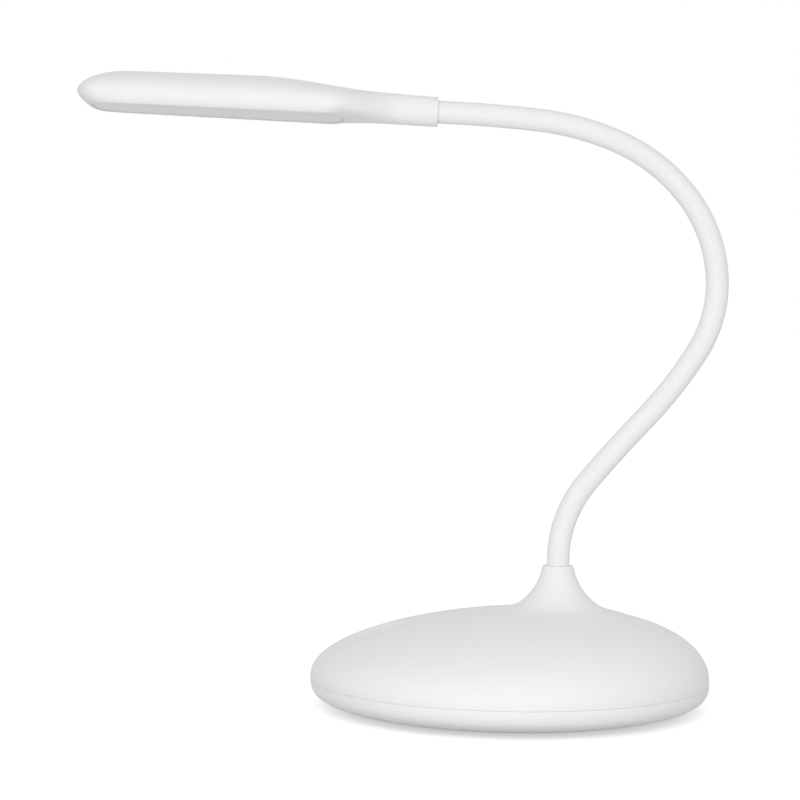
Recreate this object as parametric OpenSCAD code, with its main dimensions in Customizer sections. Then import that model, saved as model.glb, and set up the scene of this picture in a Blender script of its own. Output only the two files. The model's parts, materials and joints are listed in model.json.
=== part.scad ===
// Gooseneck desk lamp: a weighted pebble base, a flexible neck and a paddle head.
// Z is up and the origin is the base centre on the table. The head hangs towards -X,
// the touch dimple is on the -X side and the charging inlet on the +X side.

/* [Base shells] */
// Diameter of the base at its widest level
base_d = 170; // [160:1:185]
// Height of the widest level above the table
widest_z = 14.1; // [13.6:0.1:15.5]
// Height of the top of the dome above the table
dome_z = 42.8; // [41.5:0.1:46]
// How far the top of the dome leans from the base centre towards the neck
dome_lean = 15.1; // [8:0.1:20]
// Height of the seam between the two shells
seam_z = 12.7; // [12:0.1:13.2]
// Open line left between the two shells at the seam
seam_gap = 0.2; // [0.1:0.05:0.4]
// Diameter at which the flank would meet the table
foot_d = 109.5; // [106:0.5:114]
// Roundness of the flank below the widest level, 2 being an ellipse
flank_power = 3.6; // [3:0.1:4.5]
// Wall of both shells
base_wall = 2.2; // [1.8:0.1:2.6]
// Height of the locating lip above the seam
lip_h = 2.4; // [1.5:0.1:3]
// Thickness of the locating lip
lip_wall = 1.3; // [1:0.1:1.6]
// Depth of the locating lip's foot below the seam
lip_foot = 3; // [2.5:0.1:4]
// Distance below the seam from which the locating lip stands clear of the wall
lip_drop = 1; // [0.6:0.1:1.5]
// Clearance between the locating lip and the upper shell
lip_clear = 0.3; // [0.2:0.05:0.5]

/* [Neck collar of the base] */
// Height of the collar's rim above the table
collar_z = 61.4; // [58:0.1:66]
// Distance of the neck from the base centre
neck_x = 20.4; // [18:0.1:24]
// Outer diameter of the collar at its rim
collar_d = 13.2; // [12.6:0.1:14.5]
// Radius of the concave flare under the rim
flare_r = 24.6; // [22:0.1:28]
// Lean of the flare at the rim
flare_lean = 8.8; // [6:0.1:12]
// Angle at which the flare's curve ends and its straight foot starts
flare_turn = 70; // [66:1:74]
// Depth of the sleeve's seat below the rim
collar_seat = 16; // [12:0.5:18]
// Diameter of the boss that the neck's nut is tightened against
neck_boss_d = 19; // [17:0.5:22]
// Height of the underside of that boss above the table
neck_boss_z = 36; // [34:0.5:38]
// Rounding of the collar's rim
rim_round = 0.5; // [0.3:0.1:0.5]

/* [Touch dimple] */
// Distance of the dimple from the base centre, on the head's side
dimple_x = 56.5; // [52:0.5:60]
// Diameter of the dimple's rim
dimple_d = 23; // [18:0.5:26]
// Depth of the dimple
dimple_depth = 2.1; // [1.5:0.1:2.5]
// Diameter of the touch electrode behind the dimple
electrode_d = 15; // [12:0.5:17]
// Thickness of the touch electrode
electrode_t = 0.4; // [0.2:0.1:0.6]
// Thickness of the foam that presses the electrode to the shell
foam_t = 2; // [1:0.5:3]
// Diameter of that foam
foam_d = 12; // [10:0.5:14]
// Thickness of the glue between the shell and the electrode
glue_t = 0.25; // [0.1:0.05:0.4]

/* [Base fittings] */
// Diameter of the rubber pad under the base
pad_d = 100; // [90:1:103]
// Thickness of the rubber pad
pad_t = 2; // [1.8:0.1:2.4]
// How far the rubber pad stands proud of the shell
pad_proud = 0.6; // [0.4:0.1:1]
// Diameter of the steel ballast plate
ballast_d = 106; // [100:1:110]
// Thickness of the steel ballast plate
ballast_t = 4; // [3:0.5:4.5]
// Distance of the ballast's centre from the base centre, away from the inlet
ballast_shift = 3; // [2:0.5:5]
// Distance of each case screw from the two middle planes
screw_pitch = 30; // [27:0.5:33]
// Thread diameter of the case screws
screw_d = 3; // [2.5:0.1:3.5]
// Head diameter of the case screws
screw_head_d = 5.6; // [5:0.1:6]
// Head height of the case screws
screw_head_h = 2; // [1.5:0.1:2.2]
// Length of the case screws under the head
screw_len = 16; // [14:1:18]
// Outer diameter of the screw bosses
boss_d = 9; // [8.5:0.1:10]
// Height at which the upper and lower screw bosses meet
boss_z = 12; // [11:0.5:13]
// Gap between the lower screw bosses and the ballast
boss_clear = 0.5; // [0.3:0.1:1]
// Diameter of the battery cell
cell_d = 18.4; // [17.5:0.1:18.6]
// Length of the battery cell
cell_len = 65; // [60:0.5:68]
// Distance of the battery cell from the base centre, away from the neck
cell_x = 8; // [6:0.5:12]
// Wall of the battery cradle
cradle_wall = 1.6; // [1.2:0.1:2]
// Height of the battery cradle
cradle_h = 11.7; // [9:0.1:12]
// Diameter of the cap at one end of the battery cell
cell_cap_d = 6.4; // [5:0.1:8]
// Height of that cap
cell_cap_h = 2; // [1:0.5:3]

/* [Control board and inlet] */
// Length of the control board, towards the inlet
board_l = 20; // [18:0.5:21]
// Width of the control board
board_w = 32; // [28:0.5:34]
// Thickness of the control board
board_t = 1.6; // [1:0.1:2]
// Height of the control board's underside above the floor of the shell
board_stand = 2; // [1.5:0.1:2.5]
// Gap between the control board and the wall at the inlet
board_gap = 5.2; // [5:0.1:6]
// Width of the charging inlet
inlet_w = 8.9; // [8:0.1:10]
// Height of the charging inlet
inlet_h = 3.2; // [2.8:0.1:3.4]
// Length of the charging inlet
inlet_l = 9.4; // [9:0.1:9.8]
// How far the charging inlet reaches back over the control board
inlet_overlap = 3; // [2.5:0.1:3.5]
// Wall of the charging inlet
inlet_wall = 0.3; // [0.2:0.05:0.4]
// Thickness of the charging inlet's back
inlet_back = 1; // [0.6:0.1:1.4]
// Length of the tongue in the charging inlet
tongue_l = 6.8; // [6:0.1:7.4]
// Width of the tongue
tongue_w = 6; // [5:0.1:6.6]
// Thickness of the tongue
tongue_t = 0.6; // [0.5:0.05:0.8]
// Clearance round the inlet in the shell
inlet_clear = 0.3; // [0.2:0.05:0.5]
// Thread diameter of the small screws of both boards
small_screw_d = 2; // [1.6:0.1:2.2]
// Head diameter of the small screws
small_head_d = 3.6; // [3:0.1:4]
// Head height of the small screws
small_head_h = 1.2; // [0.8:0.1:1.4]
// Wall of the posts that the small screws are driven into
post_wall = 0.6; // [0.5:0.1:1]
// Side of the charger chip
charger_side = 5; // [4:0.5:6]
// Height of the charger chip
charger_h = 1.2; // [0.8:0.1:2]
// Diameter of the charger's coil
coil_d = 5; // [4:0.5:6]
// Height of the charger's coil
coil_h = 2.6; // [2:0.1:4]
// Length of the socket that the feed wires end in
socket_l = 4.5; // [4:0.5:5]
// Width of that socket
socket_w = 6; // [5:0.5:8]
// Height of that socket
socket_h = 4; // [3.5:0.5:5]
// Distance of that socket from the control board's edge
socket_inset = 0.5; // [0.3:0.1:1]

/* [Flexible neck] */
// Outer diameter of the neck's sleeve
neck_d = 9.7; // [9.4:0.1:10.2]
// Wall of the neck's sleeve
sleeve_wall = 1.6; // [1.4:0.1:1.8]
// Inner diameter of the wound steel core
core_bore = 3; // [2.8:0.1:3.2]
// Clearance between the sleeve, the core and what holds them
nest_clear = 0.1; // [0.05:0.01:0.15]
// Diameter of each of the two feed wires
wire_d = 1.1; // [0.8:0.1:1.2]
// Bend radius of the feed wires under the neck
wire_turn = 8; // [6:0.5:9]
// Straight length of the neck above the base's collar
base_stub = 2.5; // [2.4:0.1:5]
// Length of each link of the neck, along its middle
link_len = 36.2; // [35:0.1:38]
// Straight length of the neck below the head's collar
head_stub = 6; // [5.5:0.1:9]
// How much the ball at a link's end stands proud of the sleeve
ball_proud = 0.1; // [0.05:0.01:0.15]
// Gap between one link's rounded end and the next link
link_gap = 0.3; // [0.2:0.05:0.5]
// Bend of the 1st link, away from the head
bend_1 = 39.7; // [36:0.1:44]
// Bend of the 2nd link
bend_2 = 3.5; // [2:0.1:6]
// Bend of the 3rd link
bend_3 = -11.3; // [-15:0.1:-7]
// Bend of the 4th link
bend_4 = -38; // [-42:0.1:-34]
// Bend of the 5th link
bend_5 = -33.3; // [-37:0.1:-29]
// Bend of the 6th link
bend_6 = -27.5; // [-31:0.1:-23]
// Bend of the 7th link
bend_7 = -17.3; // [-21:0.1:-13]
// Bend of the 8th link
bend_8 = -3.5; // [-6:0.1:-1]

/* [Neck ferrules] */
// Thread diameter of the ferrules on both ends of the core
ferrule_d = 8; // [7.8:0.1:8.4]
// Length of the lower ferrule below the sleeve's seat
low_ferrule_len = 17; // [16:0.5:20]
// Width of the neck's nut across its flats
nut_flats = 13; // [12:0.5:14]
// Thickness of the neck's nut
nut_t = 4; // [3:0.5:5]
// Diameter of the neck's washer
washer_d = 16; // [14:0.5:17]
// Thickness of the neck's washer
washer_t = 1; // [0.6:0.1:1.5]
// How far the core and its ferrule reach past the head's throat
core_end = 2; // [1.5:0.1:3]
// Diameter of the clip that holds the upper ferrule
clip_d = 10; // [9.6:0.1:10.2]
// Thickness of that clip
clip_t = 0.8; // [0.6:0.1:1]
// Depth of the clip's recess behind the throat
clip_recess = 6; // [5:0.5:8]
// Clearance of the nut, washer and clip on the ferrule
thread_clear = 0.1; // [0.05:0.01:0.2]

/* [Head housing] */
// Length of the head from its collar's face to its tip
head_len = 153; // [148:1:160]
// Widest width of the head
head_w = 53.2; // [50:0.2:56]
// Height of the head above its axis at the crown
head_top = 11.2; // [10.6:0.1:12]
// Depth that the head would have below its axis without its flat underside
head_depth = 9; // [8.4:0.1:10]
// Squareness of the sides below the axis, 2 being an ellipse
side_power = 3.5; // [2.6:0.1:4]
// Narrowing of each side of the paddle per millimetre beyond the shoulder
head_taper = 0.054; // [0.02:0.002:0.06]
// Fall of the top per millimetre beyond the crown
head_fall = 0.012; // [0.01:0.002:0.03]
// Distance from the collar's face to the start of the shoulder
shoulder_a = 15; // [12:1:18]
// Length of the shoulder
shoulder_l = 32; // [28:1:36]
// Distance from the start of the shoulder to where the top starts to rise
crown_start = 14.5; // [10:0.5:16]
// Length over which the top rises to the crown
crown_rise = 48; // [42:1:54]
// Length of the rounding at the tip, as seen from above
tip_round = 13; // [10:0.5:20]
// Length of the rounding at the tip, as seen from the side
tip_l = 31; // [26:1:36]
// Outer diameter of the head's collar
head_collar_d = 12.6; // [12:0.1:13.2]
// Distance from the collar's face to where the head deepens
belly_a = 39; // [38:0.5:40]
// Length over which the head deepens
belly_rise = 9; // [8:0.5:12]
// Distance of the flat underside below the axis
under_h = 5.2; // [5:0.1:5.5]
// Wall of the head's housing
head_wall = 1.6; // [1.4:0.1:1.8]
// Distance from the collar's face to where the sleeve stops
head_seat = 12; // [10:0.5:14]
// Distance from the collar's face to where the housing opens inside
head_throat = 30; // [28:0.5:31]
// Distance from the collar's face to where the flat underside starts
under_start = 40; // [39:0.5:42]
// Length of the curve at the start of the flat underside
under_curve = 6; // [4:0.5:8]
// Length of the solid floor past the start of the flat underside
floor_l = 3; // [2:0.5:4]

/* [Diffuser and light] */
// Thickness of the diffuser
diffuser_t = 1.4; // [1:0.1:1.6]
// How far the diffuser's face lies behind the housing's rim
diffuser_recess = 0.3; // [0.2:0.05:0.4]
// Width of the housing's rim round the diffuser
under_rim = 1.2; // [1:0.1:1.5]
// Clearance between the diffuser and the housing
diffuser_clear = 0.15; // [0.1:0.05:0.3]
// Distance from the diffuser to the reflector
reflector_gap = 2.2; // [2:0.1:2.6]
// Thickness of the reflector sheet
reflector_t = 0.4; // [0.3:0.1:0.6]
// Distance of the reflector's edge from the housing's rim
reflector_margin = 3; // [2:0.5:4]
// Length of the light board
led_board_l = 84; // [80:1:88]
// Distance from the collar's face to the middle of the light board
light_a = 98; // [94:1:102]
// Distance between light chips along the board
led_pitch = 10; // [8:0.5:11]
// Distance between the two rows of light chips
led_row_gap = 16; // [12:0.5:18]
// Width of the light board
led_board_w = 26; // [22:1:30]
// Thickness of the light board
led_board_t = 1; // [0.8:0.1:1.2]
// Thickness of the aluminium heat spreader
spreader_t = 1; // [0.8:0.1:1.5]
// How much wider the heat spreader is than the light board, on each side
spreader_margin = 3; // [1:0.5:3]
// Length of the light board's screws in their posts
post_grip = 2; // [1.5:0.1:2.5]
// Length of each light chip
led_l = 3.5; // [2.8:0.1:4]
// Width of each light chip
led_w = 2.8; // [2.4:0.1:3]
// Thickness of each light chip
led_t = 0.7; // [0.5:0.1:0.9]
// Gap round each light chip in the reflector
chip_clear = 0.5; // [0.3:0.1:0.8]
// Light chips in each row
led_count = 8; // [6:1:9]
// Rows of light chips
led_rows = 2; // [1:1:2]

/* [Hidden] */
fn_round = 96;
fn_small = 32;
fn_bend = 360;
dome_sides = 64;
dome_rings = 11;
dome_top_angle = 88;
head_sides = 32;
flare_steps = 14;
flank_steps = 12;
// How far joined solids of one piece reach into each other
joint_eps = 0.5;
// How far a cut runs on past what it cuts
past = 1;
// Growth of the head's collar per millimetre away from its face
neck_swell = 0.016;
ball_r = neck_d / 2 + ball_proud;
socket_r = ball_r + link_gap;
// How far a link's layers run on past its end before they are cut to the ball
run_on = 1.5 * ball_r;

link_bends = [bend_1, bend_2, bend_3, bend_4, bend_5, bend_6, bend_7, bend_8];
n_links = len(link_bends);
neck_r = neck_d / 2;
core_r = neck_r - sleeve_wall - nest_clear;
core_hole_r = core_bore / 2;
wire_r = wire_d / 2;
wire_offset = wire_r + nest_clear / 2;

flank_end = acos(pow(foot_d / base_d, flank_power / 2));
flank_depth = widest_z / pow(sin(flank_end), 2 / flank_power);
floor_z = pad_t + base_wall;
seam_r = flank_r(seam_z);
inlet_z = floor_z + board_stand + board_t + inlet_h / 2;
inlet_wall_r = flank_r(inlet_z) - base_wall;
board_x = inlet_wall_r - board_gap - board_l;
board_top_z = floor_z + board_stand + board_t;
inlet_x = board_x + board_l - inlet_overlap;
post_d = small_head_d + 2 * post_wall;
screw_seat_z = pad_t + screw_head_h + nest_clear;
screw_end_z = screw_seat_z + screw_len;
seat_z = collar_z - collar_seat;
ferrule_r = ferrule_d / 2;
clip_r = clip_d / 2;
cell_z = floor_z + ballast_t + cradle_wall + nest_clear + cell_d / 2;

// The dimple is a ball pressed square into the dome
dimple_ball = (pow(dimple_d / 2, 2) + pow(dimple_depth, 2)) / (2 * dimple_depth);
dimple_t = dome_level(-dimple_x);
dimple_tilt = dome_tilt(dimple_t);
dimple_z = widest_z + dimple_t * (dome_z - widest_z);

// ---- Outlines ----

// Radius of the base's flank at a height below the widest level
function flank_r(z) =
    let (angle = asin(pow((widest_z - z) / flank_depth, flank_power / 2)))
    base_d / 2 * pow(cos(angle), 2 / flank_power);

// Level from 0 at the widest ring to 1 at the top where the dome's edge in the middle plane is at x
function dome_level(x, low = 0, high = 1, steps = 20) =
    let (mid = (low + high) / 2,
         edge = -base_d / 2 * sqrt(1 - mid * mid) + dome_lean * mid * mid)
    steps == 0 ? mid
    : edge < x ? dome_level(x, mid, high, steps - 1)
    : dome_level(x, low, mid, steps - 1);

// Tilt from upright of the dome's outward normal in the middle plane, on the head's side
function dome_tilt(t) =
    let (run = base_d / 2 * t / sqrt(1 - t * t) + 2 * dome_lean * t)
    atan2(dome_z - widest_z, run);

// Rings of the dome's skin, drawn in by an inset, from a start height to the top
function dome_ring(r, x, z) =
    [for (j = [0:dome_sides - 1])
        let (a = 360 * j / dome_sides) [x + r * cos(a), r * sin(a), z]];
function dome_skin(inset, start_z) =
    concat([dome_ring(flank_r(seam_z) - inset, 0, start_z)],
        [for (i = [0:dome_rings - 1])
            let (t = sin(dome_top_angle * i / (dome_rings - 1)))
            dome_ring((base_d / 2 - inset) * sqrt(1 - t * t), dome_lean * t * t,
                widest_z + t * (dome_z - inset - widest_z))]);

// Solid between rings of points, each ring with as many points, closed flat at both ends
module skinned(rings) {
    n = len(rings[0]);
    m = len(rings);
    polyhedron(
        points = [for (ring = rings) each ring],
        faces = concat(
            [[for (j = [0:n - 1]) j]],
            [for (i = [0:m - 2], j = [0:n - 1]) [i * n + j, (i + 1) * n + j, (i + 1) * n + (j + 1) % n]],
            [for (i = [0:m - 2], j = [0:n - 1]) [i * n + j, (i + 1) * n + (j + 1) % n, i * n + (j + 1) % n]],
            [[for (j = [n - 1:-1:0]) (m - 1) * n + j]]));
}

module each_case_screw() {
    for (sx = [-1, 1], sy = [-1, 1])
        translate([sx * screw_pitch, sy * screw_pitch, 0]) children();
}

// ---- Base ----

// Places its children on the dimple, with Z along the dome's outward normal
module at_dimple() {
    translate([-dimple_x, 0, dimple_z]) rotate([0, -dimple_tilt, 0]) children();
}

// Places its children at the middle of the ball that the dimple is pressed with
module at_dimple_ball() {
    at_dimple() translate([0, 0, dimple_ball - dimple_depth]) children();
}

// Outer form of the collar: a concave flare whose straight foot runs under the dome's skin,
// and the boss below it
module collar_form() {
    middle_z = collar_z + flare_r * sin(flare_lean);
    middle_r = collar_d / 2 + flare_r * cos(flare_lean);
    start = asin(sin(flare_lean) + rim_round / flare_r);
    curve_r = middle_r - flare_r * cos(flare_turn);
    curve_z = middle_z - flare_r * sin(flare_turn);
    foot_z = min(dome_z - 2 * base_wall, curve_z - past);
    foot_r = curve_r + (curve_z - foot_z) * tan(flare_turn);
    translate([neck_x, 0, 0]) {
        rotate_extrude($fn = fn_round)
            polygon(concat(
                [[0, foot_z], [0, collar_z], [collar_d / 2 - rim_round, collar_z]],
                [for (i = [0:flare_steps])
                    let (a = mix(start, flare_turn, i / flare_steps))
                    [middle_r - flare_r * cos(a), middle_z - flare_r * sin(a)]],
                [[foot_r, foot_z]]));
        translate([0, 0, neck_boss_z])
            cylinder(d = neck_boss_d, h = dome_z - neck_boss_z, $fn = fn_round);
    }
}

module base_upper_shell() color("whitesmoke") {
    difference() {
        union() {
            difference() {
                skinned(dome_skin(0, seam_z));
                skinned(dome_skin(base_wall, seam_z - past));
            }
            collar_form();
            // wall behind the dimple
            intersection() {
                skinned(dome_skin(joint_eps, seam_z));
                at_dimple_ball() sphere(dimple_ball + base_wall, $fn = fn_round);
                at_dimple()
                    cylinder(r = dimple_d / 2 + base_wall, h = dome_z, center = true, $fn = fn_round);
            }
            // screw bosses
            intersection() {
                skinned(dome_skin(joint_eps, seam_z));
                each_case_screw() translate([0, 0, boss_z]) cylinder(d = boss_d, h = dome_z, $fn = fn_small);
            }
            each_case_screw()
                translate([0, 0, boss_z]) cylinder(d = boss_d, h = seam_z - boss_z + past, $fn = fn_small);
        }
        at_dimple_ball() sphere(dimple_ball, $fn = fn_round);
        // bore for the sleeve and the narrower one for the ferrule
        translate([neck_x, 0, seat_z])
            cylinder(r = neck_r + nest_clear, h = collar_seat + past, $fn = fn_round);
        translate([neck_x, 0, neck_boss_z - past])
            cylinder(r = ferrule_r + nest_clear, h = collar_z - neck_boss_z, $fn = fn_round);
        each_case_screw()
            translate([0, 0, boss_z - past])
                cylinder(d = screw_d + 2 * nest_clear, h = screw_end_z - boss_z + 2 * past, $fn = fn_small);
    }
}

module base_lower_shell() color("white") {
    top_z = seam_z - seam_gap;
    in_r = seam_r - base_wall;
    lip_r = in_r - lip_clear;
    difference() {
        union() {
            rotate_extrude($fn = fn_round)
                polygon(concat(
                    [[0, pad_t], [pad_d / 2 + nest_clear, pad_t], [pad_d / 2 + nest_clear, pad_proud]],
                    [for (i = [0:flank_steps])
                        let (z = mix(pad_proud, top_z, pow(i / flank_steps, 1.6))) [flank_r(z), z]],
                    [for (i = [flank_steps:-2:0])
                        let (z = mix(floor_z, top_z, i / flank_steps)) [flank_r(z) - base_wall, z]],
                    [[0, floor_z]]));
            // locating lip
            rotate_extrude($fn = fn_round)
                polygon([
                    [lip_r - lip_wall, top_z - lip_foot], [in_r + joint_eps, top_z - lip_foot],
                    [in_r + joint_eps, top_z - lip_drop], [lip_r, top_z - lip_drop + lip_clear],
                    [lip_r, seam_z + lip_h], [lip_r - lip_wall, seam_z + lip_h]]);
            each_case_screw()
                translate([0, 0, pad_t]) cylinder(d = boss_d, h = boss_z - pad_t, $fn = fn_small);
            each_board_screw()
                translate([0, 0, pad_t]) cylinder(d = post_d, h = base_wall + board_stand, $fn = fn_small);
        }
        each_case_screw() {
            translate([0, 0, pad_t - past])
                cylinder(d = screw_head_d + 4 * nest_clear, h = screw_seat_z - pad_t + past, $fn = fn_small);
            cylinder(d = screw_d + 2 * nest_clear, h = boss_z + past, $fn = fn_small);
        }
        each_board_screw()
            translate([0, 0, floor_z])
                cylinder(d = small_screw_d + 2 * nest_clear, h = board_stand + past, $fn = fn_small);
        translate([inlet_wall_r - base_wall, 0, inlet_z])
            slot_x(inlet_w + 2 * inlet_clear, inlet_h + 2 * inlet_clear, 4 * base_wall);
    }
}

// A bar along +X whose section is a slot with round ends, W wide and H high
module slot_x(w, h, l) {
    rotate([90, 0, 90])
        linear_extrude(height = l)
            union() {
                square([w - h, h], center = true);
                for (s = [-1, 1]) translate([s * (w - h) / 2, 0]) circle(d = h, $fn = fn_small);
            }
}

module non_slip_pad() color("gainsboro") {
    cylinder(d = pad_d, h = pad_t, $fn = fn_round);
}

module ballast_plate() color("dimgray") {
    difference() {
        translate([-ballast_shift, 0, floor_z]) cylinder(d = ballast_d, h = ballast_t, $fn = fn_round);
        each_case_screw()
            translate([0, 0, floor_z - past])
                cylinder(d = boss_d + 2 * boss_clear, h = ballast_t + 2 * past, $fn = fn_small);
    }
}

module case_screws() color("silver") {
    each_case_screw() {
        difference() {
            translate([0, 0, screw_seat_z - screw_head_h])
                cylinder(d = screw_head_d, h = screw_head_h, $fn = fn_small);
            // cross recess
            for (a = [0, 90])
                rotate([0, 0, a]) translate([0, 0, screw_seat_z - screw_head_h])
                    cube([screw_head_d * 0.6, screw_head_h * 0.35, screw_head_h], center = true);
        }
        translate([0, 0, screw_seat_z]) cylinder(d = screw_d, h = screw_len, $fn = fn_small);
    }
}

module battery_cradle() color("white") {
    cradle_l = cell_len + 2 * cradle_wall;
    cradle_w = cell_d + 2 * cradle_wall;
    translate([-cell_x, 0, floor_z + ballast_t])
        difference() {
            translate([-cradle_w / 2, -cradle_l / 2, 0])
                cube([cradle_w, cradle_l, cradle_h]);
            translate([0, 0, cell_z - floor_z - ballast_t])
                rotate([90, 0, 0])
                    cylinder(d = cell_d + 2 * nest_clear, h = cell_len + 2 * nest_clear,
                        center = true, $fn = fn_round);
        }
}

module battery_cell() color("cornflowerblue") {
    translate([-cell_x, 0, cell_z])
        rotate([90, 0, 0]) {
            translate([0, 0, -cell_len / 2]) cylinder(d = cell_d, h = cell_len - cell_cap_h, $fn = fn_round);
            translate([0, 0, cell_len / 2 - 2 * cell_cap_h])
                cylinder(d = cell_cap_d, h = 2 * cell_cap_h, $fn = fn_small);
        }
}

module each_board_screw() {
    for (s = [-1, 1])
        translate([board_x + small_head_d, s * (board_w / 2 - small_head_d), 0]) children();
}

module control_board() color("seagreen") {
    difference() {
        translate([board_x, -board_w / 2, floor_z + board_stand]) cube([board_l, board_w, board_t]);
        each_board_screw()
            translate([0, 0, board_top_z - 2 * board_t])
                cylinder(d = small_screw_d + 2 * nest_clear, h = 3 * board_t, $fn = fn_small);
    }
}

// Charger chip, coil and the socket that the feed wires end in
module board_parts() color("dimgray") {
    translate([board_x + board_l * 0.45, -board_w * 0.3, board_top_z])
        cube([charger_side, charger_side, charger_h]);
    translate([board_x + board_l * 0.6, board_w * 0.28, board_top_z])
        cylinder(d = coil_d, h = coil_h, $fn = fn_small);
    translate([board_x + socket_inset, -socket_w / 2, board_top_z]) cube([socket_l, socket_w, socket_h]);
}

module board_screws() color("silver") {
    each_board_screw() {
        translate([0, 0, board_top_z]) cylinder(d = small_head_d, h = small_head_h, $fn = fn_small);
        translate([0, 0, floor_z + joint_eps])
            cylinder(d = small_screw_d, h = board_top_z - floor_z, $fn = fn_small);
    }
}

module charging_inlet() color("silver") {
    difference() {
        translate([inlet_x, 0, inlet_z]) slot_x(inlet_w, inlet_h, inlet_l);
        translate([inlet_x + inlet_back, 0, inlet_z])
            slot_x(inlet_w - 2 * inlet_wall, inlet_h - 2 * inlet_wall, inlet_l);
    }
}

module inlet_contacts() color("black") {
    translate([inlet_x + inlet_back, -tongue_w / 2, inlet_z - tongue_t / 2])
        cube([tongue_l, tongue_w, tongue_t]);
}

module touch_electrode() color("goldenrod") {
    at_dimple()
        translate([0, 0, -dimple_depth - base_wall - glue_t - electrode_t])
            cylinder(d = electrode_d, h = electrode_t, $fn = fn_round);
}

module electrode_foam() color("gray") {
    at_dimple()
        translate([0, 0, -dimple_depth - base_wall - glue_t - electrode_t - foam_t])
            cylinder(d = foam_d, h = foam_t, $fn = fn_small);
}

// ---- Neck ----

// Tilt from upright of the neck's middle line at the start of a link, or at its far end
function heading(k) = k == 0 ? 0 : heading(k - 1) + link_bends[k - 1];

// Step over a link of a given bend in the link's own X and Z, from an upright start
function link_step(bend) =
    let (r = link_len / bend * 180 / PI) [r * (1 - cos(bend)), r * sin(bend)];

// Place of joint k, where link k ends and the next one starts
function joint_at(k) =
    k == 0 ? [neck_x, collar_z + base_stub]
    : let (from = joint_at(k - 1), h = heading(k - 1), step = link_step(link_bends[k - 1]))
    [from[0] + step[0] * cos(h) + step[1] * sin(h), from[1] - step[0] * sin(h) + step[1] * cos(h)];

// Places its children at a joint, with Z along the neck
module at_joint(k) {
    translate([joint_at(k)[0], 0, joint_at(k)[1]]) rotate([0, heading(k), 0]) children();
}

module ring_outline(outer, inner) {
    difference() {
        circle(outer, $fn = fn_small);
        if (inner > 0) circle(inner, $fn = fn_small);
    }
}

// A stretch of a link's curve, swept from its children's outline and run on past its end
module link_sweep(bend) {
    r = abs(link_len / bend * 180 / PI);
    sweep = abs(bend) * (1 + run_on / link_len);
    if (bend > 0)
        translate([r, 0, 0]) rotate([90, 0, 0]) rotate([0, 0, 180 - sweep])
            rotate_extrude(angle = sweep, $fn = fn_bend) translate([r, 0]) mirror([1, 0]) children();
    else
        translate([-r, 0, 0]) rotate([90, 0, 0])
            rotate_extrude(angle = sweep, $fn = fn_bend) translate([r, 0]) children();
}

// Everything past the ball that a link ends in
module past_ball() {
    difference() {
        translate([-2 * ball_r, -2 * ball_r, 0]) cube([4 * ball_r, 4 * ball_r, 3 * ball_r]);
        sphere(ball_r, $fn = fn_round);
    }
}

// Cuts a layer of the neck to the ball at its far end and the socket at its near end
module between_joints(k) {
    difference() {
        children();
        if (k <= n_links) at_joint(k) past_ball();
        if (k > 0) at_joint(k - 1) sphere(socket_r, $fn = fn_round);
    }
}

// One layer of the neck. Layer 0 is fixed in the base and the last one in the head.
module neck_layer(k, outer, inner, low_z, high_len) {
    between_joints(k)
        if (k == 0)
            translate([neck_x, 0, low_z])
                linear_extrude(height = joint_at(0)[1] - low_z + run_on) ring_outline(outer, inner);
        else if (k == n_links + 1)
            at_joint(n_links) linear_extrude(height = high_len) ring_outline(outer, inner);
        else
            at_joint(k - 1) link_sweep(link_bends[k - 1]) ring_outline(outer, inner);
}

module neck_sleeve(k) color("whitesmoke")
    neck_layer(k, neck_r, neck_r - sleeve_wall, seat_z + nest_clear, head_stub + head_seat - nest_clear);

module neck_core(k) color("darkgray")
    neck_layer(k, core_r, core_hole_r, seat_z - low_ferrule_len, head_stub + head_throat + core_end);

module wire_pair() {
    for (s = [-1, 1]) translate([0, s * wire_offset]) circle(wire_r, $fn = fn_small);
}

module feed_wires(k) color("firebrick") {
    between_joints(k)
        if (k == 0)
            base_wires();
        else if (k == n_links + 1)
            at_joint(n_links) head_wires();
        else
            at_joint(k - 1) link_sweep(link_bends[k - 1]) wire_pair();
}

// The wires leave the neck, turn in one bend and run to the socket on the control board
module base_wires() {
    run_z = board_top_z + socket_h / 2;
    run_l = board_x + socket_inset - neck_x - wire_turn;
    translate([neck_x, 0, run_z + wire_turn])
        linear_extrude(height = joint_at(0)[1] - run_z - wire_turn + run_on) wire_pair();
    translate([neck_x + wire_turn, 0, run_z + wire_turn])
        rotate([90, 0, 0]) rotate([0, 0, 180])
            rotate_extrude(angle = 90, $fn = fn_round) translate([wire_turn, 0]) mirror([1, 0]) wire_pair();
    translate([neck_x + wire_turn, 0, run_z])
        rotate([90, 0, 90]) linear_extrude(height = run_l) rotate([0, 0, 90]) wire_pair();
}

// The wires run straight out of the neck to the light board's near end
module head_wires() {
    linear_extrude(height = head_stub + light_a - led_board_l / 2 - nest_clear) wire_pair();
}

module lower_ferrule() color("silver") {
    translate([neck_x, 0, seat_z - low_ferrule_len])
        difference() {
            cylinder(r = ferrule_r, h = low_ferrule_len, $fn = fn_round);
            translate([0, 0, -past])
                cylinder(r = core_r + nest_clear, h = low_ferrule_len + 2 * past, $fn = fn_round);
        }
}

module neck_nut() color("silver") {
    translate([neck_x, 0, neck_boss_z - washer_t - nut_t])
        difference() {
            cylinder(d = nut_flats / cos(30), h = nut_t, $fn = 6);
            translate([0, 0, -past])
                cylinder(r = ferrule_r + thread_clear, h = nut_t + 2 * past, $fn = fn_round);
        }
}

module neck_washer() color("silver") {
    translate([neck_x, 0, neck_boss_z - washer_t])
        difference() {
            cylinder(d = washer_d, h = washer_t, $fn = fn_round);
            translate([0, 0, -past])
                cylinder(r = ferrule_r + thread_clear, h = washer_t + 2 * past, $fn = fn_round);
        }
}

// ---- Head ----

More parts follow.
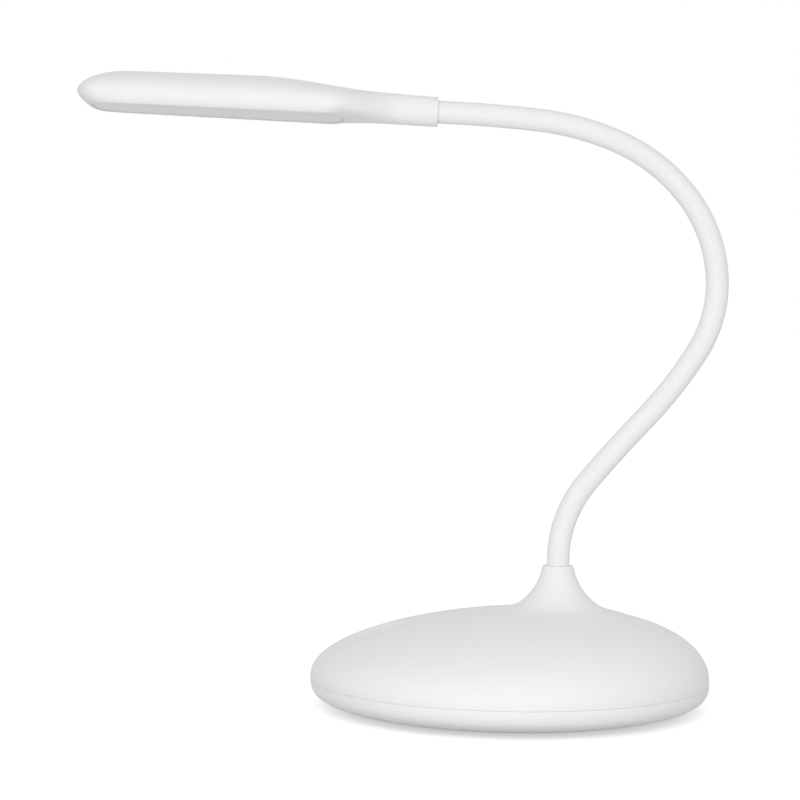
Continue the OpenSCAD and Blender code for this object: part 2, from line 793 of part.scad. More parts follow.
// Places its children in the head: -X runs from the collar's face to the tip, Z is up
module in_head() {
    at_joint(n_links) translate([0, 0, head_stub]) rotate([0, 90, 0]) children();
}

// The housing's sections are ellipses about the axis. Each function gives one of their
// half sizes at a distance from the collar's face.
function mix(a, b, t) = a + (b - a) * t;
function ease(t) = let (u = min(1, max(0, t))) u * u * (3 - 2 * u);
function tip_fall(a, start, power, root) =
    pow(max(0, 1 - pow(max(0, a - start) / (head_len - start), power)), 1 / root);

// Half width: the round collar widens over the shoulder and the paddle narrows a little to its tip
function head_half_w(a) =
    mix(head_collar_d / 2 + neck_swell * a,
        head_w / 2 - head_taper * max(0, a - shoulder_a - shoulder_l),
        ease((a - shoulder_a) / shoulder_l)) * tip_fall(a, head_len - tip_round, 2.6, 2.2);
// Height of the top above the axis
function head_crown(a) =
    mix(head_collar_d / 2 + 2 * neck_swell * a,
        head_top - head_fall * max(0, a - shoulder_a - crown_start - crown_rise),
        ease((a - shoulder_a - crown_start) / crown_rise)) * tip_fall(a, head_len - tip_l, 2.6, 2);
// Depth below the axis before the underside is cut flat
function belly_share(a) = ease((a - belly_a) / belly_rise);
function head_belly(a) =
    mix(head_collar_d / 2 + neck_swell * a, head_depth, belly_share(a))
        * tip_fall(a, head_len - tip_l, 3.6, 2);
// The sections are squarer below the axis where the head is wide
function belly_power(a) = mix(2, side_power, belly_share(a));
// Half width of the flat underside
function under_half_w(a) =
    let (n = belly_power(a))
    head_half_w(a) * pow(max(0, 1 - pow(under_h / max(nest_clear, head_belly(a)), n)), 1 / n);

// Distances of the sections: along the collar, the shoulder and the paddle, and round the tip
head_stations = concat([0, shoulder_a / 2],
    [for (i = [0 : 8]) shoulder_a + shoulder_l * i / 8],
    [for (i = [1 : 6]) mix(shoulder_a + shoulder_l, head_len - tip_l, i / 7)],
    [for (v = [0 : 8 : 88]) head_len - tip_l * (1 - sin(v))]);
function head_ring(a, inset) =
    [for (j = [0 : head_sides - 1])
        let (u = 360 * j / head_sides, c = cos(u), s = sin(u),
             n = s > 0 ? 2 : belly_power(a),
             w = max(nest_clear, head_half_w(a) - inset),
             t = max(nest_clear, (s > 0 ? head_crown(a) : head_belly(a)) - inset))
        [-a, -w * sign(c) * pow(abs(c), 2 / n), t * sign(s) * pow(abs(s), 2 / n)]];

module head_form() {
    skinned([for (a = head_stations) head_ring(a, 0)]);
}

// The hollow follows the outside and opens behind the throat
module head_hollow() {
    inner = [for (a = head_stations) if (a > head_throat + joint_eps && a < head_len - 2.5 * head_wall) a];
    skinned([for (a = concat([head_throat], inner)) head_ring(a, head_wall)]);
}

// Plan of the space under the flat underside, with its curved start
module under_cut() {
    reach = head_w / 2 + past;
    far = -head_len - past;
    polygon(concat(
        [for (v = [-90 : 10 : 90]) [-(under_start + under_curve * (1 - cos(v))), reach * sin(v)]],
        [[far, reach], [far, -reach]]));
}

// Plan of the flat underside, drawn in by an inset
module under_plan(inset) {
    tip = [for (v = [0 : 6 : 90]) head_len - tip_round * (1 - sin(v))];
    side = [for (i = [0 : 31]) mix(belly_a, head_len - tip_round, i / 32)];
    line = [for (a = concat(side, tip)) if (under_half_w(a) > 0) a];
    offset(delta = -inset)
        intersection() {
            under_cut();
            polygon(concat(
                [for (a = line) [-a, under_half_w(a)]],
                [for (i = [len(line) - 1 : -1 : 0]) [-line[i], -under_half_w(line[i])]]));
        }
}

module head_housing() color("whitesmoke") in_head() {
    difference() {
        head_form();
        difference() {
            head_hollow();
            // floor between the neck and the flat underside
            translate([-under_start - under_curve - floor_l, -head_w / 2, -head_depth - past])
                cube([under_start + under_curve + floor_l, head_w, head_depth + past - under_h + head_wall]);
            for (x = light_screw_x)
                translate([x, 0, spreader_z + spreader_t]) cylinder(d = post_d, h = head_top, $fn = fn_small);
        }
        translate([0, 0, -under_h - head_depth]) linear_extrude(height = head_depth) under_cut();
        // seat of the diffuser
        translate([0, 0, -under_h - past])
            linear_extrude(height = past + diffuser_recess + diffuser_t + nest_clear) under_plan(under_rim);
        rotate([0, -90, 0]) {
            translate([0, 0, -past]) cylinder(r = neck_r + nest_clear, h = head_seat + past, $fn = fn_round);
            cylinder(r = ferrule_r + nest_clear, h = head_throat + past, $fn = fn_round);
            translate([0, 0, head_throat]) cylinder(r = clip_r + nest_clear, h = clip_recess, $fn = fn_round);
        }
        for (x = light_screw_x)
            translate([x, 0, spreader_z + spreader_t - joint_eps])
                cylinder(d = small_screw_d + 2 * nest_clear, h = post_grip + 2 * joint_eps, $fn = fn_small);
    }
}

// Height of the top of the light board, and the places of its screws
spreader_z = -under_h + diffuser_recess + diffuser_t + reflector_gap + reflector_t + led_board_t;
light_screw_x = [for (s = [-1 : 1]) -light_a + s * (led_board_l / 2 - small_head_d)];

// Cuts the holes of the light board's screws in its children, clear of a diameter
module light_drilled(d) {
    difference() {
        children();
        for (x = light_screw_x)
            translate([x, 0, spreader_z]) cylinder(d = d, h = head_top, center = true, $fn = fn_small);
    }
}

module diffuser() color("lightgray") in_head() {
    translate([0, 0, -under_h + diffuser_recess])
        linear_extrude(height = diffuser_t) under_plan(under_rim + diffuser_clear);
}

module reflector_sheet() color("white") in_head() {
    light_drilled(post_d)
        translate([0, 0, spreader_z - led_board_t - reflector_t])
            difference() {
                linear_extrude(height = reflector_t) under_plan(under_rim + reflector_margin);
                for_chips()
                    cube([led_l + 2 * chip_clear, led_w + 2 * chip_clear, 4 * reflector_t], center = true);
            }
}

module for_chips() {
    for (i = [0:led_count - 1], j = [0:led_rows - 1]) {
        along = (i - (led_count - 1) / 2) * led_pitch;
        across = (j - (led_rows - 1) / 2) * led_row_gap;
        translate([along - light_a, across, 0]) children();
    }
}

module light_board() color("ivory") in_head() {
    light_drilled(small_screw_d + 2 * nest_clear)
        translate([-light_a - led_board_l / 2, -led_board_w / 2, spreader_z - led_board_t])
            cube([led_board_l, led_board_w, led_board_t]);
}

module light_chips() color("khaki") in_head() {
    translate([0, 0, spreader_z - led_board_t - led_t / 2])
        for_chips() cube([led_l, led_w, led_t], center = true);
}

module heat_spreader() color("silver") in_head() {
    width = led_board_w + 2 * spreader_margin;
    light_drilled(small_screw_d + 2 * nest_clear)
        translate([-light_a - led_board_l / 2, -width / 2, spreader_z])
            cube([led_board_l, width, spreader_t]);
}

module light_board_screws() color("silver") in_head() {
    for (x = light_screw_x) translate([x, 0, spreader_z - led_board_t]) {
        translate([0, 0, -small_head_h]) cylinder(d = small_head_d, h = small_head_h, $fn = fn_small);
        cylinder(d = small_screw_d, h = led_board_t + spreader_t + post_grip, $fn = fn_small);
    }
}

module upper_ferrule() color("silver") in_head() {
    rotate([0, -90, 0]) translate([0, 0, head_seat])
        difference() {
            cylinder(r = ferrule_r, h = head_throat - head_seat + core_end, $fn = fn_round);
            translate([0, 0, -past]) cylinder(r = core_r + nest_clear, h = head_throat, $fn = fn_round);
        }
}

module ferrule_clip() color("dimgray") in_head() {
    rotate([0, -90, 0]) translate([0, 0, head_throat + nest_clear])
        difference() {
            cylinder(r = clip_r, h = clip_t, $fn = fn_round);
            translate([0, 0, -past])
                cylinder(r = ferrule_r + thread_clear, h = clip_t + 2 * past, $fn = fn_round);
        }
}

base_upper_shell();
base_lower_shell();
non_slip_pad();
ballast_plate();
case_screws();
battery_cradle();
battery_cell();
control_board();
board_parts();
board_screws();
charging_inlet();
inlet_contacts();
touch_electrode();
electrode_foam();
neck_nut();
neck_washer();
lower_ferrule();
head_housing();
diffuser();
reflector_sheet();
light_board();
light_chips();
heat_spreader();
light_board_screws();
upper_ferrule();
ferrule_clip();
for (k = [0:n_links + 1]) {
    neck_sleeve(k);
    neck_core(k);
    feed_wires(k);
}
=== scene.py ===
"""Looks of a white gooseneck desk lamp, built round its packed construction.

The lamp stands on z = 0 with its base centre at the origin. The neck rises near the base's
middle, and the head hangs towards -X. Lengths are metres, angles are radians unless a name
says otherwise.
"""

import json
import logging
import math
from dataclasses import dataclass, field
from enum import Enum
from typing import Callable, Sequence

import bmesh
import bpy
from mathutils import Matrix, Vector

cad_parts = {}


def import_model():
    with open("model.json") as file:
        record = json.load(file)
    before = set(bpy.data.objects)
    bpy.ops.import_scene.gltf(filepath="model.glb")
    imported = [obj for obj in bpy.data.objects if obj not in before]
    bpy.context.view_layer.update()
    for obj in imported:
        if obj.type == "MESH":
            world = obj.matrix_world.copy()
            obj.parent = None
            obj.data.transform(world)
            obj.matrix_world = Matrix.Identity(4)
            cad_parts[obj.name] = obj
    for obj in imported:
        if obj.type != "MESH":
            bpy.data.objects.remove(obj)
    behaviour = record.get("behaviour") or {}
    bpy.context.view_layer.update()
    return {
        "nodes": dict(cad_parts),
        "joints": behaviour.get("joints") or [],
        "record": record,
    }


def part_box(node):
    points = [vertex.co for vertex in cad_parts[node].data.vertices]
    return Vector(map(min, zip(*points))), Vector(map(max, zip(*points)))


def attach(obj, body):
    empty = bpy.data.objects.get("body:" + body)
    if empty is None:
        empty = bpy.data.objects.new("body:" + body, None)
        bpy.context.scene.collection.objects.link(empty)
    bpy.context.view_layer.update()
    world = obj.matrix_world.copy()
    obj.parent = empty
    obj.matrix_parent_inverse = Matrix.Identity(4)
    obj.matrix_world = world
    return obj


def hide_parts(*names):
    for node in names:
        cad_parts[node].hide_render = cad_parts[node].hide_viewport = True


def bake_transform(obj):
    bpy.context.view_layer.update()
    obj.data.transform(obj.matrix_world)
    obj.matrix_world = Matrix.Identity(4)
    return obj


MM = 0.001
PHOTO_SIDE = 800
# points closer than this are merged
WELD = 0.004 * MM
# a point this near a plane lies on it
NEAR = 0.01 * MM
# edges sharper than this stay sharp
CREASE = math.radians(32)
LOG = logging.getLogger("lamp")

Ring = list[Vector]
Outline = list[tuple[float, float]]
Colour = tuple[float, float, float]


# ---------------------------------------------------------------- small maths


def mix(a: float, b: float, t: float) -> float:
    """Value at share t of the way from a to b."""
    return a + (b - a) * t


def ease(t: float) -> float:
    """Smooth step from 0 to 1, flat beyond both ends."""
    t = min(1.0, max(0.0, t))
    return t * t * (3 - 2 * t)


def soft_max(a: float, b: float, reach: float) -> float:
    """Larger of two heights, with a fillet where they lie within reach of each other."""
    blend = max(0.0, reach - abs(a - b)) / reach
    return max(a, b) + reach * blend * blend / 4


def spread(start: float, end: float, steps: int) -> list[float]:
    """Evenly spaced values from start to end, both of them included."""
    return [mix(start, end, i / steps) for i in range(steps + 1)]


def circle(count: int, offset: float = 0.0) -> Outline:
    """Cosines and sines of evenly spaced turns, the first of them offset by a share of a step."""
    turns = [2 * math.pi * (j + offset) / count for j in range(count)]
    return [(math.cos(turn), math.sin(turn)) for turn in turns]


def ahead(heading: float) -> Vector:
    """Direction of a heading in the XZ plane: 0 is straight up, and positive leans to +X."""
    return Vector((math.sin(heading), 0, math.cos(heading)))


# ---------------------------------------------------------------- modelling


class Bench:
    """Modelling moves that the lamp's pieces share."""

    @staticmethod
    def clear() -> None:
        """Leaves edit mode and deselects every object."""
        if bpy.context.object and bpy.context.object.mode != "OBJECT":
            bpy.ops.object.mode_set(mode="OBJECT")
        bpy.ops.object.select_all(action="DESELECT")

    @staticmethod
    def take(piece: bpy.types.Object) -> None:
        """Makes a piece the active object, and the only one that is selected.

        Args:
            piece: The piece to work on.
        """
        Bench.clear()
        piece.select_set(True)
        bpy.context.view_layer.objects.active = piece

    @staticmethod
    def edit(piece: bpy.types.Object) -> None:
        """Opens a piece in edit mode with all its vertices selected.

        Args:
            piece: The piece to work on.
        """
        Bench.take(piece)
        bpy.ops.object.mode_set(mode="EDIT")
        bpy.ops.mesh.select_mode(type="VERT")
        bpy.ops.mesh.select_all(action="SELECT")

    @staticmethod
    def named(name: str) -> bpy.types.Object:
        """Names the active object and its mesh.

        Args:
            name: The piece's name.

        Returns:
            The active object.
        """
        piece = bpy.context.object
        piece.name = name
        piece.data.name = name
        return piece

    @staticmethod
    def choose(piece: bpy.types.Object, kind: str, test: Callable[[Ring], bool]) -> None:
        """Selects the edges or faces whose corners pass a test, and stays in edit mode.

        Args:
            piece: The piece to work on.
            kind: EDGE or FACE.
            test: Says whether an element with those corners is selected.
        """
        Bench.edit(piece)
        bpy.ops.mesh.select_mode(type=kind)
        bpy.ops.mesh.select_all(action="DESELECT")
        mesh = bmesh.from_edit_mesh(piece.data)
        for item in {"EDGE": mesh.edges, "FACE": mesh.faces}[kind]:
            if test([vertex.co for vertex in item.verts]):
                item.select_set(True)
        mesh.select_flush_mode()
        bmesh.update_edit_mesh(piece.data)

    @staticmethod
    def tidy(piece: bpy.types.Object) -> None:
        """Merges doubles, turns the faces outwards and shades the mesh smooth by angle.

        Args:
            piece: The closed mesh to finish.
        """
        Bench.edit(piece)
        bpy.ops.mesh.remove_doubles(threshold=WELD)
        bpy.ops.mesh.normals_make_consistent(inside=False)
        bpy.ops.object.mode_set(mode="OBJECT")
        bpy.ops.object.shade_smooth_by_angle(angle=CREASE)

    @staticmethod
    def modify(piece: bpy.types.Object, kind: str, **settings: object) -> None:
        """Adds a modifier with its settings and applies it.

        Args:
            piece: The piece to change.
            kind: The modifier's type.
            **settings: The modifier's own settings.
        """
        Bench.take(piece)
        modifier = piece.modifiers.new(kind.title(), kind)
        for key, value in settings.items():
            setattr(modifier, key, value)
        bpy.ops.object.modifier_apply(modifier=modifier.name)

    @staticmethod
    def cut(piece: bpy.types.Object, cutter: bpy.types.Object) -> None:
        """Cuts a closed shape out of a piece and deletes the cutter."""
        Bench.modify(piece, "BOOLEAN", operation="DIFFERENCE", solver="EXACT", object=cutter)
        bpy.data.objects.remove(cutter)

    @staticmethod
    def lofted(name: str, rings: Sequence[Ring]) -> bpy.types.Object:
        """A closed skin: a circle is extruded once per ring and every level takes its ring's place.

        Args:
            name: The piece's name.
            rings: Rings of points with as many points each, from one cap to the other.

        Returns:
            The new object, at the origin.
        """
        sides = len(rings[0])
        Bench.clear()
        bpy.ops.mesh.primitive_circle_add(vertices=sides, radius=1, fill_type="NGON")
        piece = Bench.named(name)
        Bench.edit(piece)
        for _ in rings[1:]:
            bpy.ops.mesh.extrude_region_move(TRANSFORM_OT_translate={"value": (0, 0, 1)})
        mesh = bmesh.from_edit_mesh(piece.data)
        for vertex in mesh.verts:
            turn = math.atan2(vertex.co.y, vertex.co.x) / (2 * math.pi) * sides
            vertex.co = rings[round(vertex.co.z)][round(turn) % sides]
        bmesh.update_edit_mesh(piece.data)
        bpy.ops.object.mode_set(mode="OBJECT")
        return piece

    @staticmethod
    def turned(name: str, profile: Outline, steps: int) -> bpy.types.Object:
        """A lathe-turned piece: the profile is drawn by extruding a point, then spun about Z.

        Args:
            name: The piece's name.
            profile: Radius and height of each point, with its two ends on the axis.
            steps: Steps of a full turn.

        Returns:
            The new object, at the origin.
        """
        Bench.clear()
        bpy.ops.mesh.primitive_plane_add(size=MM)
        piece = Bench.named(name)
        Bench.edit(piece)
        bpy.ops.mesh.merge(type="CENTER")
        bpy.ops.transform.translate(value=(profile[0][0], 0, profile[0][1]))
        for (r0, z0), (r1, z1) in zip(profile, profile[1:]):
            bpy.ops.mesh.extrude_region_move(TRANSFORM_OT_translate={"value": (r1 - r0, 0, z1 - z0)})
        bpy.ops.mesh.select_all(action="SELECT")
        bpy.ops.mesh.spin(steps=steps, angle=2 * math.pi, center=(0, 0, 0), axis=(0, 0, 1))
        bpy.ops.object.mode_set(mode="OBJECT")
        return piece

    @staticmethod
    def prism(name: str, plan: Outline, low: float, high: float) -> bpy.types.Object:
        """An upright prism over a plan, from a low to a high level."""
        return Bench.lofted(name, [[Vector((x, y, z)) for x, y in plan] for z in (low, high)])


# ---------------------------------------------------------------- shader maths


class Signal:
    """A shader socket that Python's operators work on, each adding its Math node."""

    def __init__(self, tree: bpy.types.NodeTree, socket: bpy.types.NodeSocket) -> None:
        """Wraps an output socket of a node tree."""
        self.tree = tree
        self.socket = socket

    @staticmethod
    def feed(tree: bpy.types.NodeTree, slot: bpy.types.NodeSocket, value: object) -> None:
        """Links a Signal to an input socket, or sets a plain value on it.

        Args:
            tree: The node tree.
            slot: The input socket.
            value: A Signal or a plain value.
        """
        if isinstance(value, Signal):
            tree.links.new(value.socket, slot)
        else:
            slot.default_value = value

    @staticmethod
    def of_node(tree: bpy.types.NodeTree, kind: str, settings: dict, values: dict,
                output: str | int = 0) -> "Signal":
        """Adds any node.

        Args:
            tree: The node tree.
            kind: The node's type.
            settings: Its own settings, set before its inputs.
            values: Values or Signals for its inputs, by name or number.
            output: Name or number of the output to hand back.

        Returns:
            That output.
        """
        node = tree.nodes.new(kind)
        for key, value in settings.items():
            setattr(node, key, value)
        for key, value in values.items():
            Signal.feed(tree, node.inputs[key], value)
        return Signal(tree, node.outputs[output])

    def _math(self, operation: str, *values: object) -> "Signal":
        """Math node of Signals and numbers."""
        return Signal.of_node(self.tree, "ShaderNodeMath", {"operation": operation}, dict(enumerate(values)))

    def __add__(self, other: object) -> "Signal":
        """Sum."""
        return self._math("ADD", self, other)

    def __radd__(self, other: object) -> "Signal":
        """Sum with a number on the left."""
        return self._math("ADD", other, self)

    def __sub__(self, other: object) -> "Signal":
        """Difference."""
        return self._math("SUBTRACT", self, other)

    def __rsub__(self, other: object) -> "Signal":
        """Difference with a number on the left."""
        return self._math("SUBTRACT", other, self)

    def __mul__(self, other: object) -> "Signal":
        """Product."""
        return self._math("MULTIPLY", self, other)

    def __rmul__(self, other: object) -> "Signal":
        """Product with a number on the left."""
        return self._math("MULTIPLY", other, self)

    def __pow__(self, other: object) -> "Signal":
        """Power."""
        return self._math("POWER", self, other)

    def sine(self) -> "Signal":
        """Sine of the value."""
        return self._math("SINE", self)

    def clamped(self) -> "Signal":
        """The value held between 0 and 1."""
        return self._math("MINIMUM", self._math("MAXIMUM", self, 0), 1)

    def swing(self, span: float) -> "Signal":
        """A value from 0 to 1 turned into one of that span about 0."""
        return (self - 0.5) * span


class Paint:
    """A material under construction, with its Principled shader and Object coordinates."""

    def __init__(self, name: str) -> None:
        """Starts a node material.

        Args:
            name: The material's name.
        """
        self.material = bpy.data.materials.new(name)
        self.material.use_nodes = True
        self.tree = self.material.node_tree
        self.shader = self.tree.nodes["Principled BSDF"]
        self.place = self.node("ShaderNodeTexCoord", {}, "Object")

    def node(self, kind: str, values: dict, output: str | int = 0) -> Signal:
        """Adds a node with its inputs' values to the material, and hands back one output."""
        return Signal.of_node(self.tree, kind, {}, values, output)

    def axis(self, name: str) -> Signal:
        """Object coordinate along X, Y or Z."""
        return self.node("ShaderNodeSeparateXYZ", {"Vector": self.place}, name)

    def stretched(self, scale: Sequence[float]) -> Signal:
        """Object coordinates multiplied by a scale along each axis."""
        return self.node("ShaderNodeMapping", {"Vector": self.place, "Scale": scale})

    def noise(self, scale: float, detail: float, where: Signal | None = None) -> Signal:
        """Noise from 0 to 1.

        Args:
            scale: Cells per metre.
            detail: Octaves of finer noise.
            where: Coordinates, or None for Object coordinates.

        Returns:
            The noise's value.
        """
        values = {"Vector": where or self.place, "Scale": scale, "Detail": detail}
        return self.node("ShaderNodeTexNoise", values, "Fac")

    def cells(self, scale: float) -> Signal:
        """Distance to the nearest point of a random lattice, with a scale in cells per metre."""
        return self.node("ShaderNodeTexVoronoi", {"Vector": self.place, "Scale": scale}, "Distance")

    def blend(self, share: Signal, first: Colour, second: Colour) -> Signal:
        """Mixes two colours.

        Args:
            share: 0 for the first colour, 1 for the second.
            first: A colour.
            second: A colour.

        Returns:
            The mixed colour.
        """
        node = self.tree.nodes.new("ShaderNodeMix")
        node.data_type = "RGBA"
        Signal.feed(self.tree, node.inputs["Factor"], share)
        for slot, colour in zip([s for s in node.inputs if s.type == "RGBA"], (first, second)):
            slot.default_value = (*colour, 1)
        return Signal(self.tree, next(s for s in node.outputs if s.type == "RGBA"))

    def shaded(self, share: Signal, colour: Colour, shade: float) -> Signal:
        """A colour that falls to a shade of itself where share falls from 1 to 0."""
        return self.blend(share, tuple(c * shade for c in colour), colour)

    def relief(self, height: Signal, depth: float, strength: float) -> Signal:
        """Bump of a height whose whole range is depth metres."""
        values = {"Strength": strength, "Distance": depth, "Height": height}
        return self.node("ShaderNodeBump", values, "Normal")

    def dress(self, **values: object) -> bpy.types.Material:
        """Sets the shader's sockets.

        Args:
            **values: Values or Signals by the sockets' names, with _ for each space.

        Returns:
            The finished material.
        """
        for key, value in values.items():
            Signal.feed(self.tree, self.shader.inputs[key.replace("_", " ")], value)
        return self.material


@dataclass(frozen=True)
class Plastic:
    """Injection-moulded plastic with a fine eroded grain and a faint flow variation."""

    name: str
    colour: Colour
    roughness: float = 0.55
    specular: float = 0.2
    ior: float = 1.46
    flow_scale: float = 38.0
    flow_shade: float = 0.988
    flow_gloss: float = 0.06
    grain: float = 2400.0
    grain_gloss: float = 0.1
    grain_share: float = 0.6
    grain_depth: float = 0.02 * MM
    pit_scale: float = 0.55
    bump: float = 0.35

    def material(self) -> bpy.types.Material:
        """Makes the finish's material.

        Returns:
            The finished material.
        """
        paint = Paint(self.name)
        flow = paint.noise(self.flow_scale, 3)
        fine = paint.noise(self.grain, 2)
        pits = paint.cells(self.grain * self.pit_scale)
        skin = fine * self.grain_share + pits * (1 - self.grain_share)
        return paint.dress(
            Base_Color=paint.shaded(flow, self.colour, self.flow_shade),
            Roughness=self.roughness + flow.swing(self.flow_gloss) + fine.swing(self.grain_gloss),
            Normal=paint.relief(skin, self.grain_depth, self.bump),
            Specular_IOR_Level=self.specular,
            IOR=self.ior,
        )


@dataclass(frozen=True)
class Silicone:
    """Soft matt sleeve: a skin with a very fine tooth and a little dust-like mottling."""

    name: str
    colour: Colour
    roughness: float = 0.6
    specular: float = 0.2
    ior: float = 1.42
    sheen: float = 0.03
    sheen_roughness: float = 0.5
    mottle_scale: float = 90.0
    mottle_shade: float = 0.985
    mottle_gloss: float = 0.08
    tooth_scale: float = 5200.0
    tooth_depth: float = 0.012 * MM
    bump: float = 0.3

    def material(self) -> bpy.types.Material:
        """Makes the finish's material.

        Returns:
            The finished material.
        """
        paint = Paint(self.name)
        mottle = paint.noise(self.mottle_scale, 4)
        tooth = paint.noise(self.tooth_scale, 1)
        return paint.dress(
            Base_Color=paint.shaded(mottle, self.colour, self.mottle_shade),
            Roughness=self.roughness + mottle.swing(self.mottle_gloss),
            Normal=paint.relief(tooth, self.tooth_depth, self.bump),
            Sheen_Weight=self.sheen,
            Sheen_Roughness=self.sheen_roughness,
            Specular_IOR_Level=self.specular,
            IOR=self.ior,
        )


@dataclass(frozen=True)
class Opal:
    """Milky diffusing sheet, with fine rows of prisms pressed into its face."""

    name: str
    colour: Colour
    pitch: float = 0.9 * MM
    prism_depth: float = 0.05 * MM
    prism_gloss: float = 0.12
    bump: float = 0.35
    cloud_scale: float = 60.0
    cloud_share: float = 0.6
    shade: float = 0.97
    roughness: float = 0.38
    scatter: float = 0.12
    scatter_depth: float = 2.0 * MM
    ior: float = 1.49

    def material(self) -> bpy.types.Material:
        """Makes the finish's material.

        Returns:
            The finished material.
        """
        paint = Paint(self.name)
        rows, files = [(paint.axis(name) * (math.pi / self.pitch)).sine() for name in "XY"]
        prisms = rows * rows * 0.5 + files * files * 0.5
        cloud = paint.noise(self.cloud_scale, 2)
        share = cloud * self.cloud_share + prisms * (1 - self.cloud_share)
        return paint.dress(
            Base_Color=paint.shaded(share, self.colour, self.shade),
            Roughness=self.roughness + prisms * self.prism_gloss,
            Normal=paint.relief(prisms, self.prism_depth, self.bump),
            Subsurface_Weight=self.scatter,
            Subsurface_Scale=self.scatter_depth,
            IOR=self.ior,
        )


@dataclass(frozen=True)
class Rubber:
    """Matt rubber with a coarse tooth."""

    name: str
    colour: Colour
    roughness: float = 0.78
    dust_scale: float = 45.0
    dust_shade: float = 0.85
    tooth_scale: float = 1500.0
    tooth_gloss: float = 0.15
    tooth_depth: float = 0.06 * MM
    bump: float = 0.5

    def material(self) -> bpy.types.Material:
        """Makes the finish's material.

        Returns:
            The finished material.
        """
        paint = Paint(self.name)
        tooth = paint.noise(self.tooth_scale, 3)
        dust = paint.noise(self.dust_scale, 4)
        return paint.dress(
            Base_Color=paint.shaded(dust, self.colour, self.dust_shade),
            Roughness=self.roughness + tooth.swing(self.tooth_gloss),
            Normal=paint.relief(tooth, self.tooth_depth, self.bump),
        )


class Grain(Enum):
    """Which way a metal surface was worked, as cells per metre along X, Y and Z."""

    ROLLED = (30.0, 1600.0, 1600.0)
    DRAWN = (1600.0, 1600.0, 30.0)
    TUMBLED = (900.0, 900.0, 900.0)


@dataclass(frozen=True)
class Metal:
    """Bare or plated metal with the marks of how it was worked."""

    name: str
    colour: Colour
    roughness: float
    grain: Grain = Grain.TUMBLED
    mark_gloss: float = 0.2
    mark_depth: float = 0.01 * MM
    bump: float = 0.4
    stain_scale: float = 70.0
    stain_shade: float = 0.82
    stain_gloss: float = 0.08

    def material(self) -> bpy.types.Material:
        """Makes the finish's material.

        Returns:
            The finished material.
        """
        paint = Paint(self.name)
        marks = paint.noise(1, 3, paint.stretched(self.grain.value))
        stain = paint.noise(self.stain_scale, 3)
        return paint.dress(
            Base_Color=paint.shaded(stain, self.colour, self.stain_shade),
            Metallic=1.0,
            Roughness=self.roughness + marks.swing(self.mark_gloss) + stain.swing(self.stain_gloss),
            Normal=paint.relief(marks, self.mark_depth, self.bump),
        )


@dataclass(frozen=True)
class WoundSteel:
    """Steel strip wound tight, its turns shown as rings across the neck, with painted shade darkening the
    grooves between them.
    """

    name: str
    colour: Colour
    turn: float = 1.6 * MM
    groove_depth: float = 0.2 * MM
    # share of the colour left in the grooves: painted shade
    groove_painted_shade: float = 0.45
    groove_gloss: float = 0.2
    roughness: float = 0.34
    bump: float = 0.6

    def material(self) -> bpy.types.Material:
        """Makes the finish's material.

        Returns:
            The finished material.
        """
        paint = Paint(self.name)
        coil = (paint.axis("Z") * (2 * math.pi / self.turn)).sine()
        ridge = (coil * 0.5 + 0.5) ** 3
        return paint.dress(
            # painted shade: the colour falls to a darker copy of itself in the grooves between turns
            Base_Color=paint.shaded(ridge, self.colour, self.groove_painted_shade),
            Metallic=1.0,
            Roughness=self.roughness + ridge * self.groove_gloss,
            Normal=paint.relief(ridge, self.groove_depth, self.bump),
        )


@dataclass(frozen=True)
class Speckled:
    """Printed board, foam, film or phosphor: a speckle of two close colours."""

    name: str
    colour: Colour
    second: Colour
    roughness: float
    speckle: float
    threshold: float = 0.4
    contrast: float = 4.0
    speckle_gloss: float = 0.1
    speckle_depth: float = 0.03 * MM
    bump: float = 0.4

    def material(self) -> bpy.types.Material:
        """Makes the finish's material.

        Returns:
            The finished material.
        """
        paint = Paint(self.name)
        share = ((paint.noise(self.speckle, 3) - self.threshold) * self.contrast).clamped()
        return paint.dress(
            Base_Color=paint.blend(share, self.colour, self.second),
            Roughness=self.roughness + share * self.speckle_gloss,
            Normal=paint.relief(share, self.speckle_depth, self.bump),
        )


Finish = Plastic | Silicone | Opal | Rubber | Metal | WoundSteel | Speckled
WHITE: Colour = (0.835, 0.835, 0.835)
